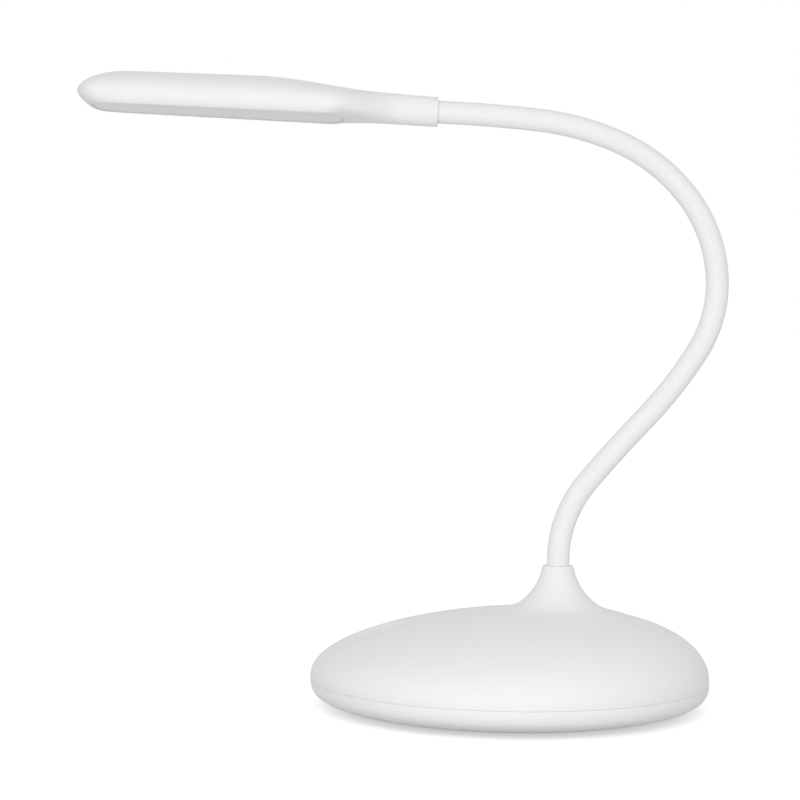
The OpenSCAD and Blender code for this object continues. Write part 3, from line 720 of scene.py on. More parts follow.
# the finish of each material slot of the record
FINISHES: dict[str, Finish] = {
    "shell_white": Plastic("shell_white", WHITE),
    "lower_white": Plastic("lower_white", WHITE, roughness=0.58),
    "sleeve_white": Silicone("sleeve_white", WHITE),
    "diffuser_white": Opal("diffuser_white", (0.735, 0.735, 0.735)),
    "pad_gray": Rubber("pad_gray", (0.33, 0.33, 0.33)),
    "steel": Metal("zinc_plated_steel", (0.62, 0.62, 0.63), 0.3),
    "ballast_steel": Metal("ballast_steel", (0.35, 0.35, 0.36), 0.5, Grain.ROLLED),
    "core_steel": WoundSteel("wound_steel", (0.5, 0.5, 0.51)),
    "spreader_alu": Metal("rolled_aluminium", (0.78, 0.78, 0.79), 0.35, Grain.ROLLED),
    "cradle_white": Plastic("cradle_white", (0.7, 0.7, 0.69), roughness=0.5),
    "cell_blue": Plastic("shrink_sleeve_blue", (0.03, 0.09, 0.4), roughness=0.25),
    "board_green": Speckled("board_green", (0.01, 0.1, 0.04), (0.015, 0.14, 0.06), 0.35, 300),
    "light_board_white": Speckled("light_board_white", (0.72, 0.72, 0.7), (0.78, 0.78, 0.76), 0.4, 300),
    "component_black": Plastic("component_black", (0.02, 0.02, 0.02), roughness=0.5),
    "inlet_steel": Metal("nickel_plate", (0.75, 0.75, 0.76), 0.22, Grain.DRAWN),
    "copper": Metal("copper_foil", (0.8, 0.45, 0.3), 0.35, Grain.ROLLED),
    "foam_gray": Speckled("foam_gray", (0.04, 0.04, 0.04), (0.09, 0.09, 0.09), 0.9, 1500),
    "reflector_white": Speckled("reflector_white", (0.82, 0.82, 0.82), (0.86, 0.86, 0.86), 0.2, 2000),
    "chip_yellow": Speckled("phosphor_yellow", (0.75, 0.62, 0.12), (0.8, 0.68, 0.18), 0.5, 4000),
    "wire_red": Plastic("wire_red", (0.35, 0.01, 0.01), roughness=0.35),
}


class Dresser:
    def __init__(self) -> None:
        """Starts with no material made."""
        self.made: dict[str, bpy.types.Material] = {}

    def dress(self, piece: bpy.types.Object, slot: str) -> None:
        """Gives a piece its slot's material.

        Args:
            piece: The piece or construction node.
            slot: The record's material slot.
        """
        if slot not in self.made:
            self.made[slot] = FINISHES[slot].material()
        piece.data.materials.clear()
        piece.data.materials.append(self.made[slot])

    def place(self, piece: bpy.types.Object, slot: str, body: str, node: str) -> None:
        """Dresses a piece, makes it ride on a body and stand for a construction node.

        Args:
            piece: The finished piece.
            slot: The record's material slot.
            body: The body that it moves with.
            node: The node that it stands for.
        """
        self.dress(piece, slot)
        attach(piece, body)
        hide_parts(node)
        LOG.info("%s: %d faces on %s", piece.name, len(piece.data.polygons), body)


# ---------------------------------------------------------------- base


@dataclass
class PebbleBase:
    """The two white shells of the base, the touch dimple and the rubber foot."""

    dresser: Dresser
    widest_r: float = 85.0 * MM
    widest_z: float = 14.1 * MM
    dome_z: float = 42.8 * MM
    lean: float = 15.1 * MM
    seam_z: float = 12.7 * MM
    seam_gap: float = 0.06 * MM
    seam_round: float = 0.1 * MM
    # share of a rounded corner's size by which the middle of its curve is drawn in
    corner: float = 0.3
    foot_r: float = 54.75 * MM
    flank_power: float = 3.6
    wall: float = 2.2 * MM
    collar_z: float = 61.4 * MM
    neck_x: float = 20.4 * MM
    collar_r: float = 6.6 * MM
    bore_r: float = 4.95 * MM
    bore_lip: float = 0.2 * MM
    ferrule_r: float = 4.1 * MM
    boss_z: float = 36.0 * MM
    boss_h: float = 30.0 * MM
    seat_depth: float = 16.0 * MM
    rim_round: float = 0.5 * MM
    flare_r: float = 24.6 * MM
    flare_lean: float = math.radians(8.8)
    flare_turn: float = math.radians(70)
    flare_foot_r: float = 36.0 * MM
    fillet: float = 3.0 * MM
    fillet_fade: float = 7.0 * MM
    dimple_x: float = 56.5 * MM
    dimple_r: float = 13.2 * MM
    dimple_depth: float = 2.1 * MM
    # the dimple's lip starts and ends at these shares of its radius, and goes down by a share of its depth
    lip_start: float = 0.9
    lip_end: float = 1.2
    lip_share: float = 0.16
    pad_r: float = 50.0 * MM
    pad_t: float = 2.0 * MM
    pad_proud: float = 0.6 * MM
    pad_clear: float = 0.1 * MM
    pad_round: float = 0.25 * MM
    # millimetres of flat, of slope and of rise at each ring of the rubber foot, from its edge inwards
    pad_steps: Sequence[tuple[float, float, float]] = (
        (3, 0.6, 0.3), *(3 * ((9, 0.5, -0.15), (2, 0.5, 0.15))))
    inlet_clear: float = 0.3 * MM
    inlet_in: float = 8.0 * MM
    inlet_out: float = 3.0 * MM
    sides: int = 192
    # how much closer together a ring's points are on the dimple's side
    crowding: float = 0.55
    # how often the range of the dome's levels is halved to find one
    halvings: int = 30

    def flank_r(self, z: float) -> float:
        """Radius of the flank below the widest level.

        Args:
            z: Height of the level.

        Returns:
            The radius there.
        """
        end = math.acos((self.foot_r / self.widest_r) ** (self.flank_power / 2))
        depth = self.widest_z / math.sin(end) ** (2 / self.flank_power)
        angle = math.asin(((self.widest_z - z) / depth) ** (self.flank_power / 2))
        return self.widest_r * math.cos(angle) ** (2 / self.flank_power)

    def dome_height(self, x: float, y: float) -> float:
        """Height of the dome over a point of the plan.

        Args:
            x: Place of the point.
            y: Place of the point.

        Returns:
            The height, or the widest level's where the point lies outside.
        """
        low, high = 0.0, 1.0
        for _ in range(self.halvings):
            t = (low + high) / 2
            inside = (x - self.lean * t * t) ** 2 + y * y < self.widest_r * self.widest_r * (1 - t * t)
            low, high = (t, high) if inside else (low, t)
        return self.widest_z + low * (self.dome_z - self.widest_z)

    def flare_turn_r(self, turn: float) -> float:
        """Distance from the neck's axis to the collar's flare at a turn about the flare's centre."""
        return self.collar_r + self.flare_r * math.cos(self.flare_lean) - self.flare_r * math.cos(turn)

    def flare_height(self, r: float) -> float:
        """Height of the collar's concave flare, or of the straight foot below it.

        Args:
            r: Distance from the neck's axis.

        Returns:
            The height there.
        """
        middle_r = self.collar_r + self.flare_r * math.cos(self.flare_lean)
        middle_z = self.collar_z + self.flare_r * math.sin(self.flare_lean)
        curve_r = self.flare_turn_r(self.flare_turn)
        if r > curve_r:
            curve_z = middle_z - self.flare_r * math.sin(self.flare_turn)
            return curve_z - (r - curve_r) / math.tan(self.flare_turn)
        across = min(1.0, (middle_r - r) / self.flare_r)
        return middle_z - self.flare_r * math.sin(math.acos(across))

    def flare_skin(self, x: float, y: float) -> float:
        """Height of the skin round the neck, where the flare runs into the dome over a fillet.

        Args:
            x: Place of the point.
            y: Place of the point.

        Returns:
            The height there.
        """
        r = math.hypot(x - self.neck_x, y)
        dome, flare = self.dome_height(x, y), self.flare_height(r)
        plain = max(dome, flare)
        fade = ease((self.flare_foot_r - r) / self.fillet_fade)
        return plain + (soft_max(dome, flare, self.fillet) - plain) * fade

    def level_ring(self, x: float, r: float, z: float) -> Ring:
        """Flat ring about (x, 0), its points closer together on the dimple's side.

        Args:
            x: Place of its middle.
            r: Its radius.
            z: Its height.

        Returns:
            The ring's points.
        """
        turns = [2 * math.pi * j / self.sides for j in range(self.sides)]
        turns = [turn + self.crowding * math.sin(turn) for turn in turns]
        return [Vector((x + r * math.cos(turn), r * math.sin(turn), z)) for turn in turns]

    def dome_ring(self, t: float, inset: float = 0.0) -> Ring:
        """Leaning ring of the dome.

        Args:
            t: Its level, from 0 at the widest ring to 1 at the top.
            inset: How far the dome is drawn in.

        Returns:
            The ring's points.
        """
        r = (self.widest_r - inset) * math.sqrt(1 - t * t)
        z = self.widest_z + t * (self.dome_z - inset - self.widest_z)
        return self.level_ring(self.lean * t * t, r, z)

    @staticmethod
    def on_skin(ring: Ring, height: Callable[[float, float], float]) -> Ring:
        """Ring whose points are moved up or down to a skin."""
        return [Vector((p.x, p.y, height(p.x, p.y))) for p in ring]

    def outer_rings(self) -> list[Ring]:
        """Makes the upper shell's outside.

        Returns:
            Rings from the seam up to the collar's rim.
        """
        edge_z = self.seam_z + self.seam_round
        seam_r = self.flank_r(self.seam_z)
        middle_z = (edge_z + self.widest_z) / 2
        levels = [(seam_r - self.seam_round, self.seam_z),
                  (seam_r - self.corner * self.seam_round, self.seam_z + self.corner * self.seam_round),
                  (self.flank_r(edge_z), edge_z),
                  (self.flank_r(middle_z), middle_z)]
        rings = [self.level_ring(0, r, z) for r, z in levels]
        last_t = 0.8
        dome_steps, cross_steps, foot_steps, curve_steps = 76, 9, 14, 30
        rings += [self.dome_ring(math.sin(turn)) for turn in spread(0, math.asin(last_t), dome_steps)]
        # from the leaning rings of the dome to rings about the neck
        last_x = self.lean * last_t**2
        last_r = self.widest_r * math.sqrt(1 - last_t**2)
        for share in spread(0, 1, cross_steps)[1:]:
            r = mix(last_r, self.flare_foot_r, share)
            ring = self.level_ring(mix(last_x, self.neck_x, share), r, 0)
            rings.append(self.on_skin(ring, self.dome_height))
        # over the fillet and up the flare
        start = math.asin(math.sin(self.flare_lean) + self.rim_round / self.flare_r)
        radii = spread(self.flare_foot_r, self.flare_turn_r(self.flare_turn), foot_steps)[1:-1]
        radii += [self.flare_turn_r(turn) for turn in spread(self.flare_turn, start, curve_steps)]
        return rings + [self.on_skin(self.level_ring(self.neck_x, r, 0), self.flare_skin) for r in radii]

    def rim_rings(self) -> list[Ring]:
        """Makes the collar's rounded rim and its bore.

        Returns:
            Rings over the rim and down into the bore.
        """
        levels = [(self.collar_r - self.rim_round * (1 - math.cos(turn)),
                   self.collar_z - self.rim_round * (1 - math.sin(turn)))
                  for turn in spread(0, math.pi / 2, 6)[1:]]
        levels += [(self.bore_r + self.bore_lip, self.collar_z),
                   (self.bore_r, self.collar_z - self.bore_lip),
                   (self.bore_r, self.collar_z - self.seat_depth)]
        return [self.level_ring(self.neck_x, r, z) for r, z in levels]

    def inner_rings(self) -> list[Ring]:
        """Makes the upper shell's inside.

        Returns:
            Rings from the top down to the seam.
        """
        rings = [self.dome_ring(t, self.wall) for t in (0.97, 0.9, 0.8, 0.68, 0.55, 0.4, 0.25, 0.1)]
        return rings + [self.level_ring(0, self.flank_r(self.seam_z) - self.wall, self.seam_z)]

    def press_dimple(self, shell: bpy.types.Object) -> None:
        """Presses the shallow round dimple square into both faces of the dome.

        Args:
            shell: The upper shell.
        """
        centre = Vector((-self.dimple_x, 0, self.dome_height(-self.dimple_x, 0)))
        t = (centre.z - self.widest_z) / (self.dome_z - self.widest_z)
        run = self.widest_r * t / math.sqrt(1 - t * t) + 2 * self.lean * t
        tilt = math.atan2(self.dome_z - self.widest_z, run)
        normal = Vector((-math.sin(tilt), 0, math.cos(tilt)))
        for vertex in shell.data.vertices:
            away = vertex.co - centre
            r = (away - normal * away.dot(normal)).length / self.dimple_r
            below = self.dome_height(vertex.co.x, vertex.co.y) - vertex.co.z
            # the dome's two faces, and nothing that lies further along the normal
            if r < self.lip_end and -0.1 * self.wall < below < 1.6 * self.wall:
                dish = max(0.0, 1 - r * r)
                lip = self.lip_share * ease((self.lip_end - r) / (self.lip_end - self.lip_start))
                vertex.co -= normal * self.dimple_depth * (dish + lip)

    def upper_shell(self) -> bpy.types.Object:
        """Makes the dome with its flared collar, bored for the neck.

        Returns:
            The finished shell.
        """
        rings = self.rim_rings()[::-1] + self.outer_rings()[::-1] + self.inner_rings()[::-1]
        shell = Bench.lofted("base_dome", rings)
        self.press_dimple(shell)
        Bench.clear()
        bpy.ops.mesh.primitive_cylinder_add(vertices=48, radius=self.ferrule_r, depth=self.boss_h,
                                            location=(self.neck_x, 0, self.boss_z))
        Bench.cut(shell, Bench.named("ferrule_hole"))
        Bench.tidy(shell)
        return shell

    def lower_shell(self) -> bpy.types.Object:
        """Makes the tray under the seam, with its recess for the rubber foot.

        Returns:
            The finished tray.
        """
        top = self.seam_z - self.seam_gap
        floor = self.pad_t + self.wall
        edge_r = self.flank_r(top)
        recess_r = self.pad_r + self.pad_clear
        profile = [(0.0, self.pad_t), (recess_r, self.pad_t), (recess_r, self.pad_proud + 2 * self.pad_clear),
                   (recess_r + 2 * self.pad_clear, self.pad_proud)]
        levels = [mix(self.pad_proud, top - self.seam_round, share**1.6) for share in spread(0, 1, 20)]
        profile += [(self.flank_r(z), z) for z in levels]
        profile += [(edge_r - self.corner * self.seam_round, top - self.corner * self.seam_round),
                    (edge_r - self.seam_round, top)]
        profile += [(self.flank_r(z) - self.wall, z) for z in spread(top, floor, 6)] + [(0.0, floor)]
        tray = Bench.turned("base_tray", profile, self.sides)
        Bench.tidy(tray)
        return tray

    def rubber_foot(self) -> bpy.types.Object:
        """Makes the rubber disc that the lamp stands on, with a rounded edge and raised rings.

        Returns:
            The finished foot.
        """
        Bench.clear()
        bpy.ops.mesh.primitive_cylinder_add(vertices=128, radius=self.pad_r, depth=self.pad_t,
                                            location=(0, 0, self.pad_t / 2))
        foot = Bench.named("rubber_foot")
        bpy.ops.object.transform_apply(location=True, rotation=True, scale=True)
        Bench.choose(foot, "FACE", lambda corners: all(p.z < self.pad_t / 2 for p in corners))
        for flat, slope, rise in self.pad_steps:
            bpy.ops.mesh.inset(thickness=flat * MM)
            bpy.ops.mesh.inset(thickness=slope * MM)
            bpy.ops.transform.translate(value=(0, 0, rise * MM))
        bpy.ops.object.mode_set(mode="OBJECT")
        Bench.modify(foot, "BEVEL", width=self.pad_round, segments=3, limit_method="ANGLE",
                     angle_limit=math.radians(70))
        Bench.tidy(foot)
        return foot

    def inlet_slot(self, tray: bpy.types.Object) -> None:
        """Cuts the slot for the charging inlet through the tray's flank.

        Args:
            tray: The lower shell.
        """
        low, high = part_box("charging_inlet")
        middle_z = (low.z + high.z) / 2
        half_w = (high.y - low.y) / 2 + self.inlet_clear
        half_h = (high.z - low.z) / 2 + self.inlet_clear
        mouth = [(math.copysign(half_w - half_h, c) + half_h * c, middle_z + half_h * s)
                 for c, s in circle(32, 0.5)]
        rings = [[Vector((x, y, z)) for y, z in mouth]
                 for x in (self.widest_r - self.inlet_in, self.widest_r + self.inlet_out)]
        Bench.cut(tray, Bench.lofted("inlet_cutter", rings))
        Bench.tidy(tray)

    def build(self) -> None:
        """Makes, dresses and places the base's pieces."""
        self.dresser.place(self.upper_shell(), "shell_white", "base", "base_upper_shell")
        tray = self.lower_shell()
        self.inlet_slot(tray)
        self.dresser.place(tray, "lower_white", "base", "base_lower_shell")
        self.dresser.place(self.rubber_foot(), "pad_gray", "base", "non_slip_pad")


# ---------------------------------------------------------------- neck


@dataclass
class Gooseneck:
    """The silicone sleeve: one smooth piece across each hinge, meeting the next at a link's middle."""

    dresser: Dresser
    joints: list[dict]
    sleeve_r: float = 4.85 * MM
    bore_r: float = 3.3 * MM
    base_stub: float = 2.5 * MM
    head_stub: float = 6.0 * MM
    end_gap: float = 0.194 * MM
    sides: int = 48
    rings_each: int = 26
    stub_rings: int = 8
    points: list[Vector] = field(init=False)
    headings: list[float] = field(init=False)

    def __post_init__(self) -> None:
        """Takes the hinges' places, and the neck's heading at each from the arcs between them."""
        self.points = [Vector(joint["pos_m"]) for joint in self.joints]
        self.headings = [0.0]
        for start, end in zip(self.points, self.points[1:]):
            chord = end - start
            self.headings.append(2 * math.atan2(chord.x, chord.z) - self.headings[-1])

    def on_link(self, link: int, share: float) -> tuple[Vector, float]:
        """Place and heading of the neck's middle line on a link.

        Args:
            link: Number of the link, 1 being the one above the first hinge.
            share: 0 at its start, 1 at its end.

        Returns:
            The place, and the heading there.
        """
        start, end = self.points[link - 1], self.points[link]
        heading = self.headings[link - 1]
        bend = self.headings[link] - heading
        radius = (end - start).length / 2 / math.sin(bend / 2)
        turn = bend * share
        side = radius * (1 - math.cos(turn))
        along = radius * math.sin(turn)
        x = start.x + side * math.cos(heading) + along * math.sin(heading)
        z = start.z - side * math.sin(heading) + along * math.cos(heading)
        return Vector((x, 0, z)), heading + turn

    def head_face(self) -> Vector:
        """Middle of the face of the head's collar."""
        return self.points[-1] + ahead(self.headings[-1]) * self.head_stub

    def ring(self, place: Vector, heading: float, radius: float) -> Ring:
        """Ring of the sleeve square to the middle line.

        Args:
            place: Its middle.
            heading: The middle line's heading there.
            radius: Its radius.

        Returns:
            The ring's points.
        """
        across = Vector((math.cos(heading), 0, -math.sin(heading)))
        side = Vector((0, 1, 0))
        return [place + across * radius * c + side * radius * s for c, s in circle(self.sides)]

    def stretch(self, number: int) -> list[tuple[Vector, float]]:
        """Middle line of the sleeve's piece across a hinge.

        Args:
            number: Number of the hinge, from 0.

        Returns:
            Places along it, each with its heading.
        """
        last = len(self.points) - 1
        hinge, heading = self.points[number], self.headings[number]
        if number == 0:
            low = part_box("neck_sleeve_0")[0].z
            line = [(Vector((hinge.x, 0, z)), 0.0) for z in spread(low, hinge.z, self.stub_rings)[:-1]]
        else:
            line = [self.on_link(number, share) for share in spread(0.5, 1, self.rings_each)[:-1]]
        if number == last:
            way = ahead(heading)
            reach = (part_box(f"neck_sleeve_{last + 1}")[0].x - hinge.x) / way.x - self.end_gap
            return line + [(hinge + way * along, heading) for along in spread(0, reach, self.stub_rings)]
        return line + [self.on_link(number + 1, share) for share in spread(0, 0.5, self.rings_each)]

    def sleeve(self, number: int) -> bpy.types.Object:
        """Makes one stretch of the hollow sleeve, closed by its ring-shaped ends.

        Args:
            number: Number of the hinge that it crosses, from 0.

        Returns:
            The finished stretch.
        """
        line = self.stretch(number)
        place, heading = line[0]
        outside = [self.ring(p, h, self.sleeve_r) for p, h in line]
        inside = [self.ring(p, h, self.bore_r) for p, h in line]
        piece = Bench.lofted(f"sleeve_{number}", outside + inside[::-1])
        Bench.choose(piece, "FACE", lambda corners: len(corners) > 4)
        bpy.ops.mesh.delete(type="ONLY_FACE")
        Bench.choose(piece, "EDGE",
                     lambda ends: all(abs((p - place).dot(ahead(heading))) < NEAR for p in ends))
        bpy.ops.mesh.bridge_edge_loops()
        bpy.ops.object.mode_set(mode="OBJECT")
        Bench.tidy(piece)
        return piece

    def build(self) -> None:
        """Makes and dresses the sleeve's pieces, and hides the construction nodes that they stand for."""
        last = len(self.joints) - 1
        for number, joint in enumerate(self.joints):
            piece = self.sleeve(number)
            self.dresser.dress(piece, "sleeve_white")
            line = self.stretch(number)
            hinge, start, end = self.points[number], line[0][0], line[-1][0]
            nodes = [f"neck_sleeve_{number}"]
            if number == 0:
                start = hinge - Vector((0, 0, self.base_stub))
            if number == last:
                end = hinge + (end - hinge) / 3
                nodes.append(f"neck_sleeve_{last + 1}")
            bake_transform(piece)
            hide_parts(*nodes)
            LOG.info("%s across %s", piece.name, joint["name"])


# ---------------------------------------------------------------- head


@dataclass
class PaddleHead:
    """The white paddle with its flat underside, and the milky diffuser in it.

    In its own frame the head's axis is X, with the face of its collar at 0 and its tip towards -X.
    """

    dresser: Dresser
    face: Vector
    tilt: float
    length: float = 153.0 * MM
    width: float = 53.2 * MM
    top: float = 11.2 * MM
    depth: float = 9.0 * MM
    side_power: float = 2.8
    taper: float = 0.036
    fall: float = 0.014
    shoulder: float = 15.0 * MM
    shoulder_l: float = 32.0 * MM
    crown_start: float = 14.5 * MM
    crown_rise: float = 48.0 * MM
    tip_round: float = 13.0 * MM
    tip_l: float = 26.0 * MM
    # power and root of the tip's curve in the head's width, its crown and its belly
    width_tip: tuple[float, float] = (2.6, 2.2)
    crown_tip: tuple[float, float] = (2.6, 1.5)
    belly_tip: tuple[float, float] = (3.2, 1.4)
    collar_r: float = 6.3 * MM
    collar_edge: float = 0.35 * MM
    collar_rings: tuple[float, float] = (4.0 * MM, 9.0 * MM)
    swell: float = 0.016
    bore_r: float = 4.95 * MM
    seat: float = 12.0 * MM
    throat: float = 30.0 * MM
    wall: float = 1.6 * MM
    under: float = 5.1 * MM
    under_start: float = 38.8 * MM
    under_curve: float = 6.0 * MM
    belly_start: float = 39.6 * MM
    belly_rise: float = 8.5 * MM
    nose_lift: float = 0.9 * MM
    chin_rise: float = 0.5 * MM
    rim: float = 1.2 * MM
    recess: float = 0.3 * MM
    diffuser_t: float = 1.4 * MM
    diffuser_clear: float = 0.15 * MM
    diffuser_edge: float = 0.2 * MM
    # the smallest half size of a section, at the tip
    least: float = 0.3 * MM
    # how far the cutters of the underside reach past the head: at its sides, its tip and below it
    cutter_margin: float = 1.0 * MM
    cutter_tip: float = 10.0 * MM
    cutter_drop: float = 12.0 * MM
    pocket_clear: float = 0.1 * MM
    sides: int = 96
    flat_steps: int = 56
    tip_steps: int = 40
    arc_steps: int = 24

    def tip_fall(self, a: float, start: float, tip: tuple[float, float]) -> float:
        """Share of a half size that is left near the tip.

        Args:
            a: Distance from the collar's face.
            start: Distance at which the tip's curve starts.
            tip: Power and root of the curve.

        Returns:
            1 before the start, and 0 at the tip.
        """
        power, root = tip
        share = max(0.0, a - start) / (self.length - start)
        return max(0.0, 1 - share**power) ** (1 / root)

    def half_w(self, a: float) -> float:
        """Half width.

        Args:
            a: Distance from the collar's face.

        Returns:
            The half width there.
        """
        wide = self.width / 2 - self.taper * max(0.0, a - self.shoulder - self.shoulder_l)
        grown = mix(self.collar_r + self.swell * a, wide, ease((a - self.shoulder) / self.shoulder_l))
        return grown * self.tip_fall(a, self.length - self.tip_round, self.width_tip)

    def crown(self, a: float) -> float:
        """Height of the top above the axis.

        Args:
            a: Distance from the collar's face.

        Returns:
            The height there.
        """
        start = self.shoulder + self.crown_start
        high = self.top - self.fall * max(0.0, a - start - self.crown_rise)
        low = self.collar_r + 2 * self.swell * a
        grown = mix(low, high, ease((a - start) / self.crown_rise))
        return grown * self.tip_fall(a, self.length - self.tip_l, self.crown_tip)

    def belly(self, a: float) -> float:
        """Depth below the axis before the underside is cut flat.

        Args:
            a: Distance from the collar's face.

        Returns:
            The depth there.
        """
        under_neck = self.collar_r - self.chin_rise * ease(a / self.under_start)
        grown = mix(under_neck, self.depth, ease((a - self.belly_start) / self.belly_rise))
        return grown * self.tip_fall(a, self.length - self.tip_l, self.belly_tip)

    def lower_power(self, a: float) -> float:
        """Squareness of the section below the axis, 2 being an ellipse."""
        return mix(2, self.side_power, ease((a - self.shoulder) / (self.under_start - self.shoulder)))

    def lift(self, a: float) -> float:
        """Height of a section's middle above the axis: the nose is turned up a little."""
        return self.nose_lift * max(0.0, (a - self.length + self.tip_l) / self.tip_l) ** 2

    def section(self, a: float, inset: float = 0.0) -> Ring:
        """Ring of the head.

        Args:
            a: Distance from the collar's face.
            inset: How far it is drawn in.

        Returns:
            The ring's points.
        """
        w = max(self.least, self.half_w(a) - inset)
        points = []
        for c, s in circle(self.sides):
            n, t = (2, self.crown(a)) if s > 0 else (self.lower_power(a), self.belly(a))
            y = -math.copysign(abs(c) ** (2 / n), c) * w
            z = math.copysign(abs(s) ** (2 / n), s) * max(self.least, t - inset)
            points.append(Vector((-a, y, z + self.lift(a))))
        return points

    def round_section(self, a: float, r: float) -> Ring:
        """Round ring of the collar or of its bore."""
        return [Vector((-a, -r * c, r * s)) for c, s in circle(self.sides)]

    def stations(self, start: float) -> list[float]:
        """Spaces the sections, closer together at the tip.

        Args:
            start: Distance of the first from the collar's face.

        Returns:
            Their distances, up to the tip.
        """
        flat_end = self.length - self.tip_l
        flat, tip = self.flat_steps, self.tip_steps
        steps = [start + (flat_end - start) * i / flat for i in range(flat + 1)]
        steps += [flat_end + self.tip_l * math.sin(math.pi / 2 * i / tip) for i in range(1, tip)]
        return steps + [self.length - NEAR]

    def under_half_w(self, a: float) -> float:
        """Half width of the flat underside.

        Args:
            a: Distance from the collar's face.

        Returns:
            The half width there.
        """
        n = self.lower_power(a)
        share = max(0.0, 1 - ((self.under + self.lift(a)) / max(self.least, self.belly(a))) ** n)
        return self.half_w(a) * share ** (1 / n)

    def cut_half_w(self) -> float:
        """Half width of the cutter that leaves the underside flat."""
        return self.width / 2 + self.cutter_margin

    def arc_start(self, w: float) -> float:
        """Distance at which the flat underside starts, at a distance from its middle line."""
        bow = 1 - math.sqrt(max(0.0, 1 - (w / self.cut_half_w()) ** 2))
        return self.under_start + self.under_curve * bow

    def under_plan(self, inset: float) -> Outline:
        """Outline of the flat underside, from the shallow arc to the blunt tip.

        Args:
            inset: How far it is drawn in.

        Returns:
            X and Y of its points.
        """
        line = [(a, self.under_half_w(a)) for a in self.stations(self.under_start + 1 * MM)]
        side = [(a, w) for a, w in line if w > inset and a > self.arc_start(w) + 0.2 * MM]
        half = [(self.arc_start(w), w) for w in spread(0, side[0][1], 12)] + side
        outline = [(-a, w) for a, w in half]
        outline += [(x, -y) for x, y in reversed(outline[1:])]
        return self.drawn_in(outline, inset)

    @staticmethod
    def drawn_in(outline: Outline, inset: float) -> Outline:
        """Outline moved inwards square to itself.

        Args:
            outline: The points of a closed outline.
            inset: Distance to move them.

        Returns:
            As many points.
        """
        area = sum(p[0] * q[1] - q[0] * p[1] for p, q in zip(outline, outline[1:] + outline[:1]))
        step = math.copysign(inset, area)
        moved = []
        for i, (x, y) in enumerate(outline):
            before, after = outline[i - 1], outline[(i + 1) % len(outline)]
            along = Vector((after[0] - before[0], after[1] - before[1])).normalized()
            moved.append((x - along.y * step, y + along.x * step))
        return moved

    def to_place(self, piece: bpy.types.Object) -> None:
        """Moves a piece from the head's own frame to its place on the neck, in its mesh."""
        piece.data.transform(Matrix.Translation(self.face) @ Matrix.Rotation(self.tilt, 4, "Y"))

    def housing(self) -> bpy.types.Object:
        """Makes the paddle's shell: bored for the neck, hollow, and open under the light.

        Returns:
            The finished shell.
        """
        edge, face = self.collar_edge, -self.under
        collar = [(self.seat, self.bore_r), (edge, self.bore_r), (0, self.bore_r + edge * 0.6),
                  (0, self.collar_r - edge), (edge * 0.3, self.collar_r - edge * 0.3)]
        rings = [self.round_section(a, r) for a, r in collar]
        rings += [self.section(a) for a in (edge, *self.collar_rings, *self.stations(self.shoulder))]
        shell = Bench.lofted("paddle_housing", rings)
        inner = [a for a in self.stations(self.throat) if a < self.length - 2.5 * self.wall]
        Bench.cut(shell, Bench.lofted("hollow", [self.section(a, self.wall) for a in inner]))
        reach, far = self.cut_half_w(), -self.length - self.cutter_tip
        steps = self.arc_steps
        across = [reach * math.sin(v * math.pi / (2 * steps)) for v in range(-steps, steps + 1)]
        plan = [(-self.arc_start(y), y) for y in across] + [(far, reach), (far, -reach)]
        Bench.cut(shell, Bench.prism("flat_cutter", plan, face - self.cutter_drop, face))
        pocket = self.recess + self.diffuser_t + self.pocket_clear
        Bench.cut(shell, Bench.prism("pocket_cutter", self.under_plan(self.rim),
                                     face - self.cutter_margin, face + pocket))
        Bench.tidy(shell)
        self.to_place(shell)
        return shell

    def diffuser(self) -> bpy.types.Object:
        """Makes the milky sheet in the underside, with a softened edge.

        Returns:
            The finished sheet.
        """
        plan = self.under_plan(self.rim + self.diffuser_clear)
        low = self.recess - self.under
        sheet = Bench.prism("diffuser_sheet", plan, low, low + self.diffuser_t)
        Bench.choose(sheet, "EDGE", lambda ends: all(abs(p.z - low) < NEAR for p in ends))
        bpy.ops.mesh.bevel(offset=self.diffuser_edge, segments=2, affect="EDGES")
        bpy.ops.object.mode_set(mode="OBJECT")
        Bench.tidy(sheet)
        self.to_place(sheet)
        return sheet

    def build(self) -> None:
        """Makes, dresses and places the head's pieces."""
        self.dresser.place(self.housing(), "shell_white", "head", "head_housing")
        self.dresser.place(self.diffuser(), "diffuser_white", "head", "diffuser")


# ---------------------------------------------------------------- studio


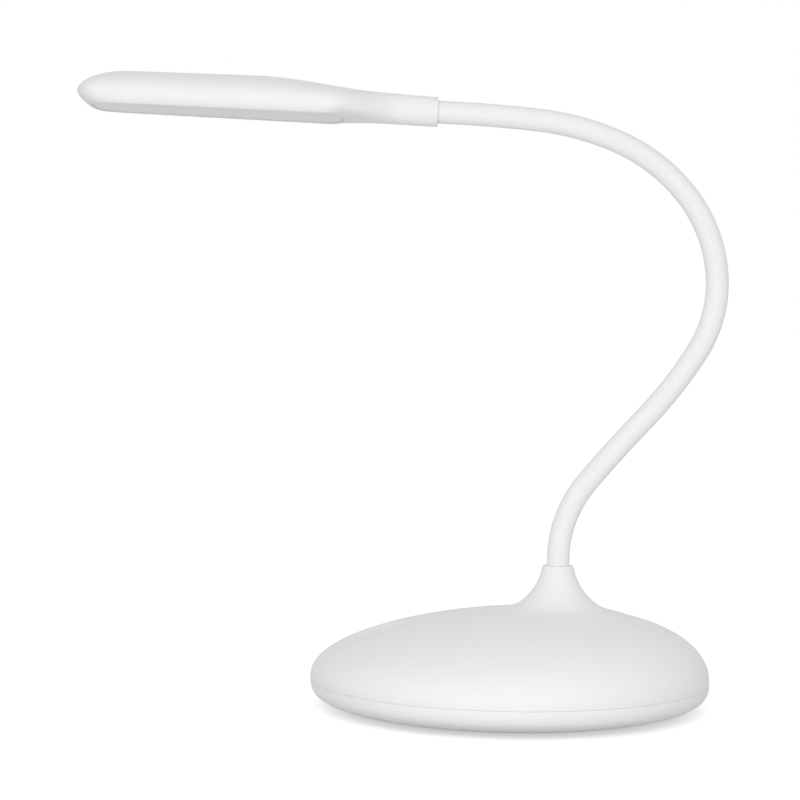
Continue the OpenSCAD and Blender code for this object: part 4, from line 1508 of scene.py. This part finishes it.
@dataclass
class Studio:
    """White floor and world, one soft light, and the camera at the photograph's place."""

    camera_at: Vector = field(default_factory=lambda: Vector((-47.96, -938.4, 158.55)) * MM)
    camera_pitch: float = 0.029
    camera_roll: float = 0.011
    focal_pixels: float = 2200.0
    sensor: float = 36.0
    fill: float = 0.688
    floor_size: float = 24.0
    floor_grey: float = 0.8
    floor_glow: float = 0.5
    box_at: Vector = field(default_factory=lambda: Vector((-0.1, -1.0, 0.3)))
    box_aim: Vector = field(default_factory=lambda: Vector((0.1, -0.4, -0.45)))
    box_side: float = 0.65
    box_watts: float = 4.85

    def camera(self) -> None:
        """Puts the camera where the photograph was taken from."""
        data = bpy.data.cameras.new("photo_camera")
        data.sensor_width = self.sensor
        data.lens = self.focal_pixels / PHOTO_SIDE * self.sensor
        data.clip_start, data.clip_end = 0.01, 50
        camera = bpy.data.objects.new("photo_camera", data)
        bpy.context.scene.collection.objects.link(camera)
        pitch = Matrix.Rotation(math.pi / 2 - self.camera_pitch, 4, "X")
        roll = Matrix.Rotation(self.camera_roll, 4, "Z")
        camera.matrix_world = Matrix.Translation(self.camera_at) @ pitch @ roll
        bpy.context.scene.camera = camera

    @staticmethod
    def seen_by(tree: bpy.types.NodeTree, *rays: str) -> Signal:
        """Tells some kinds of rays from the rest.

        Args:
            tree: The node tree.
            *rays: Kinds of rays, such as Camera.

        Returns:
            1 on those rays, and 0 on others.
        """
        path = tree.nodes.new("ShaderNodeLightPath")
        first, *others = [Signal(tree, path.outputs[f"Is {ray} Ray"]) for ray in rays]
        return sum(others, first).clamped()

    def world(self) -> None:
        """White to the camera and in reflections, and an even fill light for the rest."""
        world = bpy.data.worlds.new("studio_white")
        bpy.context.scene.world = world
        world.use_nodes = True
        tree = world.node_tree
        background = tree.nodes["Background"]
        background.inputs["Color"].default_value = (1, 1, 1, 1)
        strength = self.seen_by(tree, "Camera", "Glossy", "Transmission") * (1 - self.fill) + self.fill
        Signal.feed(tree, background.inputs["Strength"], strength)

    def floor(self) -> None:
        """A pale floor that reads white and keeps the lamp's soft shadow."""
        Bench.clear()
        bpy.ops.mesh.primitive_plane_add(size=self.floor_size, location=(0, 0, 0))
        floor = Bench.named("studio_floor")
        paint = Paint("studio_floor")
        grey = paint.node("ShaderNodeBsdfDiffuse", {"Color": (*3 * (self.floor_grey,), 1)})
        seen = self.seen_by(paint.tree, "Camera", "Glossy")
        glow = paint.node("ShaderNodeEmission", {"Strength": seen * self.floor_glow})
        both = paint.node("ShaderNodeAddShader", {0: grey, 1: glow})
        Signal.feed(paint.tree, paint.tree.nodes["Material Output"].inputs["Surface"], both)
        paint.tree.nodes.remove(paint.shader)
        floor.data.materials.append(paint.material)

    def softbox(self) -> None:
        """A square area light in front of the lamp, aimed at the floor before it."""
        data = bpy.data.lights.new("front_box", "AREA")
        data.shape = "SQUARE"
        data.size = self.box_side
        data.energy = self.box_watts
        light = bpy.data.objects.new("front_box", data)
        bpy.context.scene.collection.objects.link(light)
        turn = (self.box_aim - self.box_at).to_track_quat("-Z", "Y").to_matrix().to_4x4()
        light.matrix_world = Matrix.Translation(self.box_at) @ turn

    def build(self) -> None:
        """Sets the whole studio."""
        self.camera()
        self.world()
        self.floor()
        self.softbox()
        bpy.context.scene.view_settings.view_transform = "Standard"


# ---------------------------------------------------------------- assembly


def dress_nodes(frame: dict, dresser: Dresser) -> None:
    """Gives every construction node its slot's material.

    Args:
        frame: The loaded frame.
        dresser: Where the materials come from.
    """
    for entry in frame["record"]["subparts"]:
        dresser.dress(frame["nodes"][entry["node"]], entry["material_slot"])


def main() -> None:
    """Builds the lamp's looks and its studio."""
    logging.basicConfig(level=logging.INFO, format="%(name)s: %(message)s")
    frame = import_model()
    Studio().build()
    dresser = Dresser()
    dress_nodes(frame, dresser)
    PebbleBase(dresser).build()
    neck = Gooseneck(dresser, frame["joints"])
    neck.build()
    PaddleHead(dresser, face=neck.head_face(), tilt=neck.headings[-1] + math.pi / 2).build()


if __name__ == "__main__":
    main()
